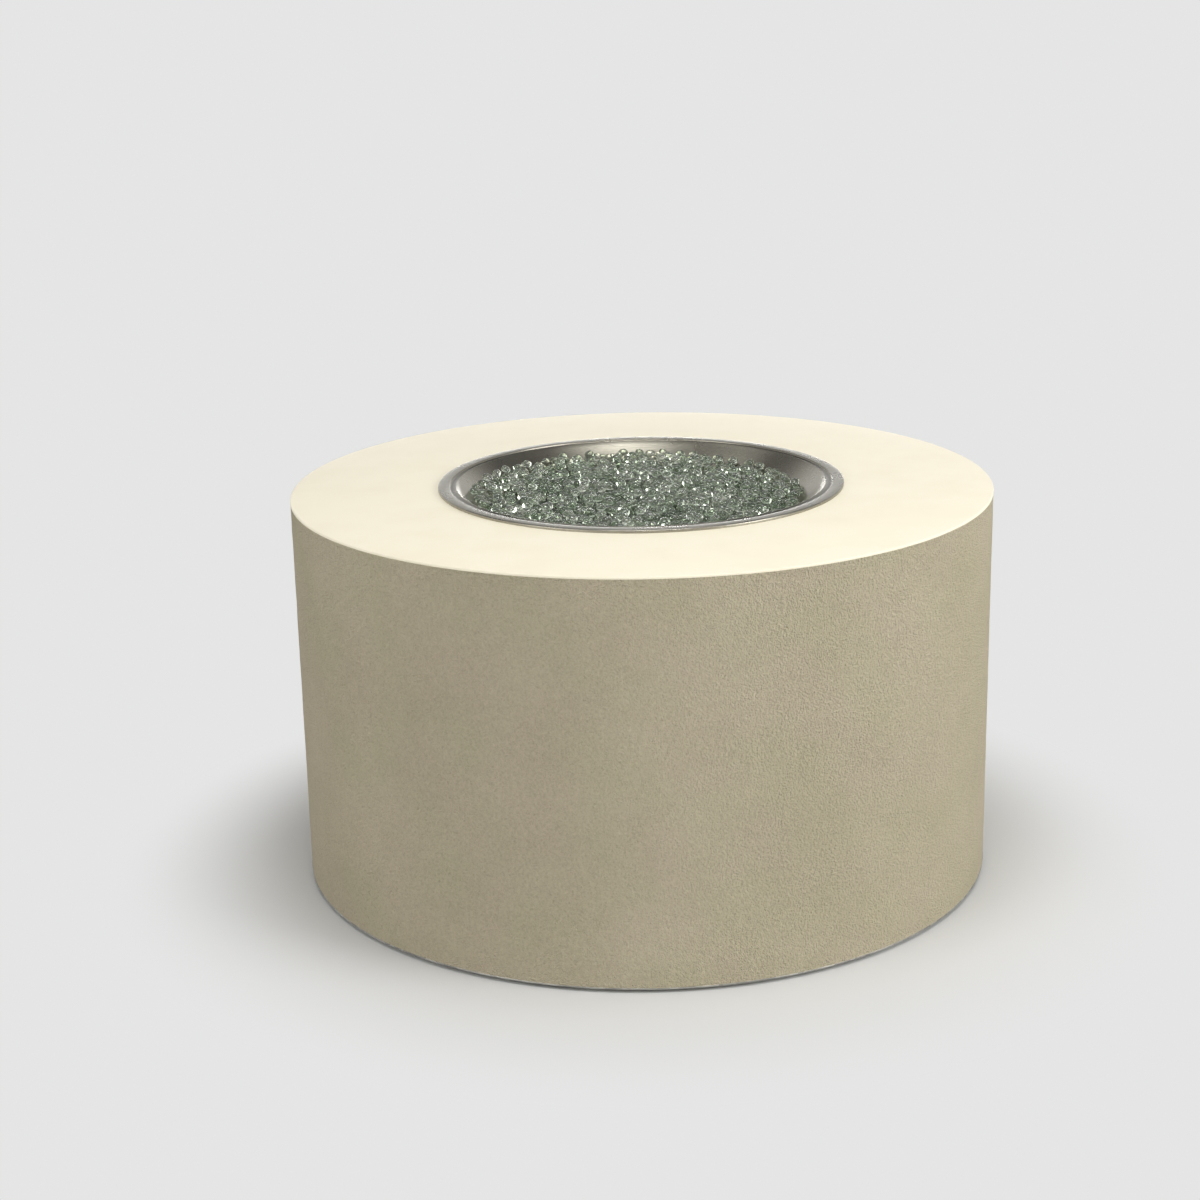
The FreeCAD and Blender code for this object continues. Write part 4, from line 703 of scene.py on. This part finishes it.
pan_mesh = bmesh.new()
floor_z = pan_rim_high + bowl_floor
pan_line = section_line(pan_mesh, [(pan_hole_radius, floor_z), (bowl_flat_radius, floor_z)])
bend_centre = (0, -bowl_flat_radius, floor_z + bowl_bend_radius)
bowl = bmesh.ops.spin(
    pan_mesh,
    geom=[pan_line[1]],
    cent=bend_centre,
    axis=(1, 0, 0),
    angle=-bowl_bend_turn,
    steps=bowl_steps,
)
last = next(item for item in bowl["geom_last"] if isinstance(item, bmesh.types.BMVert))
for radius, height in [corner[:2] for corner in pan_corners] + [pan_hem]:
    following = pan_mesh.verts.new((0, -radius, pan_rim_high + height))
    pan_mesh.edges.new((last, following))
    last = following
spun_round(pan_mesh, pan_mesh.verts[:] + pan_mesh.edges[:], turn_steps)
for radius, height, offset in pan_corners:
    ease_edges(pan_mesh, radius, pan_rim_high + height, offset, segments=4)
bmesh.ops.recalc_face_normals(pan_mesh, faces=pan_mesh.faces[:])
if sum(face.normal.z * face.calc_area() for face in pan_mesh.faces) < 0:
    bmesh.ops.reverse_faces(pan_mesh, faces=pan_mesh.faces[:])
bmesh.ops.solidify(pan_mesh, geom=pan_mesh.faces[:], thickness=pan_sheet)
pan_steel = brushed_steel_material(
    "brushed_stainless_pan", steel_bright, steel_dull, roughness=0.27, across=brush_line, painted_shade_rings=painted_ledge_shade
)
steel_pan = finished_piece(pan_mesh, "steel_pan", pan_steel, "enclosure")
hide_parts("burner_pan")


# Burner: two rings of 19 mm stainless tube on spokes and a hub, with gas ports along the
# top. It lies buried in the lava rock, screwed to the black pipe nipple under the hub.
burner_bright = "#B9B4AA"
burner_dull = "#8F897E"
burner_brush = 0.0012
burner_steel = brushed_steel_material(
    "drawn_stainless_tube", burner_bright, burner_dull, roughness=0.33, across=burner_brush
)


def dress(nodes, material):
    """Gives CAD nodes one of the scene's materials."""
    for name in nodes:
        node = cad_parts[name]
        node.data.materials.clear()
        node.data.materials.append(material)


dress(["burner_ring", "feed_pipe"], burner_steel)


# Lava rock: loose porous lumps of black scoria that fill the bottom of the bowl round the
# burner and spread the gas. They show only as the dark between the beads.
rock_black = "#15130F"
rock_brown = "#39322A"
rock_lump_size = 0.022
rock_pore_size = 0.003
rock_pore_share = 0.4
rock_relief = 0.006


def lava_material():
    """Broken scoria: dull, near black, pitted with gas holes."""
    material, tree = new_material("porous_lava_rock")
    where = add_node(tree, "ShaderNodeTexCoord")
    lump = add_node(
        tree,
        "ShaderNodeTexVoronoi",
        {"Vector": where.outputs["Object"], "Scale": 1 / rock_lump_size},
        feature="DISTANCE_TO_EDGE",
    )
    pores = add_node(
        tree,
        "ShaderNodeTexNoise",
        {"Vector": where.outputs["Object"], "Scale": 1 / rock_pore_size, "Detail": 4.0, "Roughness": 0.65},
    )
    colours = add_node(tree, "ShaderNodeValToRGB", {"Fac": pores.outputs["Fac"]})
    colours.color_ramp.elements[0].position = 0.35
    colours.color_ramp.elements[0].color = linear(rock_black)
    colours.color_ramp.elements[1].position = 0.75
    colours.color_ramp.elements[1].color = linear(rock_brown)
    relief = add_node(
        tree,
        "ShaderNodeMath",
        {0: pores.outputs["Fac"], 1: rock_pore_share, 2: lump.outputs["Distance"]},
        operation="MULTIPLY_ADD",
    )
    bump = add_node(
        tree, "ShaderNodeBump", {"Height": relief.outputs[0], "Strength": 0.9, "Distance": rock_relief}
    )
    rock = add_node(
        tree,
        "ShaderNodeBsdfPrincipled",
        {"Base Color": colours.outputs["Color"], "Roughness": 0.95, "Normal": bump.outputs["Normal"]},
    )
    add_node(tree, "ShaderNodeOutputMaterial", {"Surface": rock.outputs["BSDF"]})
    return material


dress(["lava_rock_fill"], lava_material())


# Fire glass: some 1,400 clear droplets of tumbled grey-green glass, 16 to 19 mm wide before
# each is stretched a little, and somewhat flat. They are poured over the rock and heaped.
rock_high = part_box("lava_rock_fill")[1]
bead_half_width = (0.0080, 0.0096)
bead_stretch = (0.9, 1.1)
bead_flatness = 0.68
bead_tilt = math.radians(38)
bed_radius = 0.272
bed_edge_high = 0.5880
bed_crown = 0.0035
bed_back_rise = 0.0030
bed_left_rise = 0.0040
bed_ripple = 0.0025
bed_ripple_size = 0.075
bead_overtop = 0.3       # share of its half width that a bead may stand proud of the heap
bead_lean = 0.6          # share of its half width at which a bead touches the sloping bowl
bead_bowl_gap = 0.0008
bead_tint_size = 0.017
bead_seed = 7
bead_tries = 16
bead_limit = 4200
bead_pieces = 3
glass_clear = "#F3F5EC"
glass_green = "#AEBEA6"


def bowl_high(radius):
    """Height of the bowl's inner face at a radius."""
    along = max(radius - bowl_flat_radius, 0.0)
    return floor_z + bowl_bend_radius - math.sqrt(bowl_bend_radius ** 2 - along ** 2)


def bed_high(x, y):
    """Height of the heaped glass at a place in the pan."""
    outward = math.hypot(x, y) / bed_radius
    heap = bed_crown * (1 - outward ** 2)
    slope = (bed_back_rise * y - bed_left_rise * x) / bed_radius
    ripple = bed_ripple * noise.noise(Vector((x, y, 0)) / bed_ripple_size)
    return bed_edge_high + heap + slope + ripple


def resting_high(x, y, half_width, settled):
    """Height of a bead's middle when it is dropped at a place and comes to rest."""
    half_high = half_width * bead_flatness
    bowl_touch = bowl_high(math.hypot(x, y) + bead_lean * half_width) + bead_bowl_gap
    high = max(rock_high.z, bowl_touch) + half_high
    column, row = int(x // bead_cell), int(y // bead_cell)
    for near_column in range(column - 1, column + 2):
        for near_row in range(row - 1, row + 2):
            for other_x, other_y, other_z, other_half in settled.get((near_column, near_row), ()):
                reach = half_width + other_half
                across = (x - other_x) ** 2 + (y - other_y) ** 2
                if across < reach ** 2:
                    high = max(high, other_z + bead_flatness * math.sqrt(reach ** 2 - across))
    return high


def glass_material():
    """Tumbled soda glass: clear and glossy, with a weak grey-green tint that varies by bead."""
    material, tree = new_material("tumbled_clear_glass")
    where = add_node(tree, "ShaderNodeTexCoord")
    tint = add_node(
        tree,
        "ShaderNodeTexVoronoi",
        {"Vector": where.outputs["Object"], "Scale": 1 / bead_tint_size},
        feature="F1",
    )
    shade = add_node(tree, "ShaderNodeSeparateColor", {"Color": tint.outputs["Color"]})
    colours = add_node(tree, "ShaderNodeValToRGB", {"Fac": shade.outputs["Red"]})
    colours.color_ramp.elements[0].color = linear(glass_green)
    colours.color_ramp.elements[1].color = linear(glass_clear)
    glass = add_node(
        tree,
        "ShaderNodeBsdfPrincipled",
        {
            "Base Color": colours.outputs["Color"],
            "Roughness": 0.06,
            "IOR": 1.5,
            "Transmission Weight": 0.9,
        },
    )
    add_node(tree, "ShaderNodeOutputMaterial", {"Surface": glass.outputs["BSDF"]})
    return material


bead_cell = 2 * bead_half_width[1]
draw = random.Random(bead_seed)
settled = {}
beads = []
for _ in range(bead_limit):
    best = None
    half_width = draw.uniform(*bead_half_width)
    for _ in range(bead_tries):
        radius = (bed_radius - half_width) * math.sqrt(draw.random())
        azimuth = draw.uniform(0, 2 * math.pi)
        x, y = radius * math.sin(azimuth), -radius * math.cos(azimuth)
        z = resting_high(x, y, half_width, settled)
        room = bed_high(x, y) - z - half_width * bead_flatness
        if best is None or room > best[0]:
            best = (room, x, y, z)
    room, x, y, z = best
    if room < -bead_overtop * half_width:
        continue
    beads.append((Vector((x, y, z)), half_width))
    settled.setdefault((int(x // bead_cell), int(y // bead_cell)), []).append((x, y, z, half_width))

droplet_mesh = bmesh.new()
bmesh.ops.create_uvsphere(droplet_mesh, u_segments=8, v_segments=6, radius=1.0)
droplet = bpy.data.meshes.new("droplet")
droplet_mesh.to_mesh(droplet)
droplet_mesh.free()
clear_glass = glass_material()
for share in range(bead_pieces):
    glass_mesh = bmesh.new()
    for place, half_width in beads[share::bead_pieces]:
        stretch = draw.uniform(*bead_stretch)
        shape = Matrix.Diagonal((half_width * stretch, half_width / stretch, half_width * bead_flatness, 1.0))
        tilt = Matrix.Rotation(bead_tilt * draw.uniform(-1, 1), 4, "X")
        spin = Matrix.Rotation(draw.uniform(0, 2 * math.pi), 4, "Z")
        one = droplet.copy()
        one.transform(Matrix.Translation(place) @ spin @ tilt @ shape)
        glass_mesh.from_mesh(one)
        bpy.data.meshes.remove(one)
    glass_beads = finished_piece(
        glass_mesh, "glass_beads_" + str(share + 1), clear_glass, "enclosure", math.pi
    )
    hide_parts("fire_glass_bed")
bpy.data.meshes.remove(droplet)


# Boards: fibre cement board, cut round for the top and bent in four sheets round the
# frame for the wall, with loose pieces over and under the doorway. Screwed, then coated.
board_grey = "#A5A29A"
board_pale = "#B6B3AA"
board_fibre = 0.008
grain_gloss_swing = 0.15     # how far a finish's roughness swings to each side with its grain


def grained_material(name, low, high, grain, roughness, metallic=0.0, relief=0.0):
    """A finish whose tone, gloss and relief vary with one fine grain."""
    material, tree = new_material(name)
    where = add_node(tree, "ShaderNodeTexCoord")
    grains = add_node(
        tree,
        "ShaderNodeTexNoise",
        {"Vector": where.outputs["Object"], "Scale": 1 / grain, "Detail": 4.0, "Roughness": 0.6},
    )
    colours = add_node(tree, "ShaderNodeValToRGB", {"Fac": grains.outputs["Fac"]})
    colours.color_ramp.elements[0].position = 0.3
    colours.color_ramp.elements[0].color = linear(low)
    colours.color_ramp.elements[1].position = 0.7
    colours.color_ramp.elements[1].color = linear(high)
    gloss = add_node(
        tree,
        "ShaderNodeMapRange",
        {
            "Value": grains.outputs["Fac"],
            "From Min": 0.3,
            "From Max": 0.7,
            "To Min": roughness * (1 - grain_gloss_swing),
            "To Max": min(roughness * (1 + grain_gloss_swing), 1.0),
        },
    )
    inputs = {
        "Base Color": colours.outputs["Color"],
        "Metallic": metallic,
        "Roughness": gloss.outputs["Result"],
    }
    if relief:
        bump = add_node(
            tree, "ShaderNodeBump", {"Height": grains.outputs["Fac"], "Strength": 0.7, "Distance": relief}
        )
        inputs["Normal"] = bump.outputs["Normal"]
    surface = add_node(tree, "ShaderNodeBsdfPrincipled", inputs)
    add_node(tree, "ShaderNodeOutputMaterial", {"Surface": surface.outputs["BSDF"]})
    return material


# Fibre cement: dull grey, faintly mottled by the fibres pressed into its face.
fibre_cement = grained_material(
    "pressed_fibre_cement", board_grey, board_pale, board_fibre, roughness=0.9, relief=0.0003
)
dress(
    ["top_board", "doorway_boards", "wall_board_1", "wall_board_2", "wall_board_3", "wall_board_4"],
    fibre_cement,
)


# Steel frame: roll-formed galvanised channel. Two tracks bent to a ring hold the studs,
# joists and headers carry the top board, and small bent clips tie them together.
sheet_zinc = "#C6C8C7"
sheet_zinc_dull = "#A3A6A3"
sheet_spangle = 0.016
galvanised_sheet = zinc_material(
    "galvanised_sheet_steel", sheet_zinc, sheet_zinc_dull, roughness=0.5, flake=sheet_spangle
)
dress(
    [
        "bottom_track",
        "top_track",
        "wall_studs",
        "joists",
        "headers",
        "frame_clips",
        "base_panel",
        "heat_shield",
        "cylinder_locator_ring",
    ],
    galvanised_sheet,
)

# Screws, pins and the pan's locknuts: zinc plated and passivated, so brighter and bluer
# than the sheet, with no spangle.
plate_bright = "#CFD1CF"
plate_dull = "#A9ABA7"
plate_grain = 0.004
zinc_plate = grained_material(
    "bright_zinc_plate", plate_dull, plate_bright, plate_grain, roughness=0.3, metallic=1.0
)
dress(
    [
        "foot_screws",
        "stud_screws",
        "heat_shield_screws",
        "pan_locknuts",
        "hinge_pins",
        "hinge_frame_screws",
        "hinge_door_screws",
        "pull_screws",
        "vent_screws",
    ],
    zinc_plate,
)


# Feet: moulded rubber pads under the base, each held by a screw from above.
rubber_black = "#181817"
rubber_bloom = "#262523"
rubber_grain = 0.003
# Moulded rubber: near black, soft sheen, faintly greyed by bloom.
moulded_rubber = grained_material(
    "moulded_rubber", rubber_black, rubber_bloom, rubber_grain, roughness=0.75, relief=0.0001
)
dress(["foot_pads"], moulded_rubber)


# Gas train: a black iron nipple through the pan, a cast mixer with a turning air shutter
# under it, and brass fittings on the stainless pipe from the valve.
iron_black = "#1F1F1F"
iron_scale = "#333231"
iron_grain = 0.005
cast_dark = "#4E4E4C"
cast_pale = "#686764"
cast_grain = 0.0025
brass_deep = "#B08D45"
brass_pale = "#D2B269"
brass_grain = 0.006
# Black iron pipe: mill scale, dark with a dull metal sheen.
black_iron = grained_material(
    "black_iron_pipe", iron_black, iron_scale, iron_grain, roughness=0.5, metallic=0.6, relief=0.0001
)
dress(["burner_nipple"], black_iron)
# Sand-cast iron: grey, grainy from the mould.
sand_cast = grained_material(
    "sand_cast_iron", cast_dark, cast_pale, cast_grain, roughness=0.55, metallic=0.8, relief=0.0004
)
dress(["air_mixer", "air_shutter"], sand_cast)
# Machined brass: warm yellow, bright, lightly dulled by handling.
machined_brass = grained_material(
    "machined_brass", brass_deep, brass_pale, brass_grain, roughness=0.28, metallic=1.0
)
dress(
    [
        "valve_body",
        "outlet_adapter",
        "inlet_fitting",
        "orifice_spud",
        "feed_pipe_nuts",
        "stem_bonnet",
        "sleeve_locknut",
    ],
    machined_brass,
)


# Valve and key: the ball turns between two white seats. The chrome flange in the wall
# guides the loose key to the valve's stem.
chrome_bright = "#E6E8EA"
chrome_dull = "#D0D3D6"
chrome_grain = 0.03
seat_white = "#EFEFEB"
seat_shade = "#E2E2DC"
seat_grain = 0.004
# Chrome plate: mirror bright, a little blue, with faint wipe marks.
polished_chrome = grained_material(
    "polished_chrome_plate", chrome_dull, chrome_bright, chrome_grain, roughness=0.09, metallic=1.0
)
dress(["valve_ball", "valve_stem", "key_escutcheon", "valve_key"], polished_chrome)
# Fluoroplastic seats: white, waxy, smooth.
white_fluoroplastic = grained_material(
    "white_fluoroplastic", seat_shade, seat_white, seat_grain, roughness=0.4
)
dress(["valve_seats"], white_fluoroplastic)


# Service door, its frame, its hinge leaves and the vent grilles: folded steel, powder
# coated in the tone of the stucco. The door carries its own stucco skin in a shallow pan.
paint_dark = "#9A917C"
paint_light = "#A49B86"
paint_peel = 0.0035
foam_black = "#1B1B1A"
foam_cell = "#2B2A28"
foam_grain = 0.0022
# Powder coat: even satin paint with a fine orange peel.
powder_coat = grained_material(
    "stone_powder_coat", paint_dark, paint_light, paint_peel, roughness=0.5, relief=0.0002
)
dress(
    [
        "door_frame",
        "door_pan",
        "vent_grille_left",
        "vent_grille_right",
        "hinge_frame_leaves",
        "hinge_door_leaves",
    ],
    powder_coat,
)
# Closed-cell foam strip: black, soft, finely pitted.
foam_strip = grained_material(
    "closed_cell_foam", foam_black, foam_cell, foam_grain, roughness=0.95, relief=0.0005
)
dress(["door_seal"], foam_strip)


# Pull and catch: a brushed stainless plate with a swinging bail in a shallow cup on the
# door, and a magnet in a moulded case that holds the door's strike plate.
pull_bright = "#C8C6C0"
pull_dull = "#ADABA5"
pull_brush = 0.0009
case_black = "#1C1C1E"
case_grey = "#2A2A2B"
case_grain = 0.002
brushed_pull_steel = brushed_steel_material(
    "brushed_stainless_pull", pull_bright, pull_dull, roughness=0.3, across=pull_brush
)
dress(["pull_plate", "pull_bail", "catch_strike"], brushed_pull_steel)
# Moulded nylon case: charcoal, satin, very slightly grained.
moulded_case = grained_material(
    "moulded_nylon_case", case_black, case_grey, case_grain, roughness=0.55, relief=0.0001
)
dress(["catch_magnet"], moulded_case)
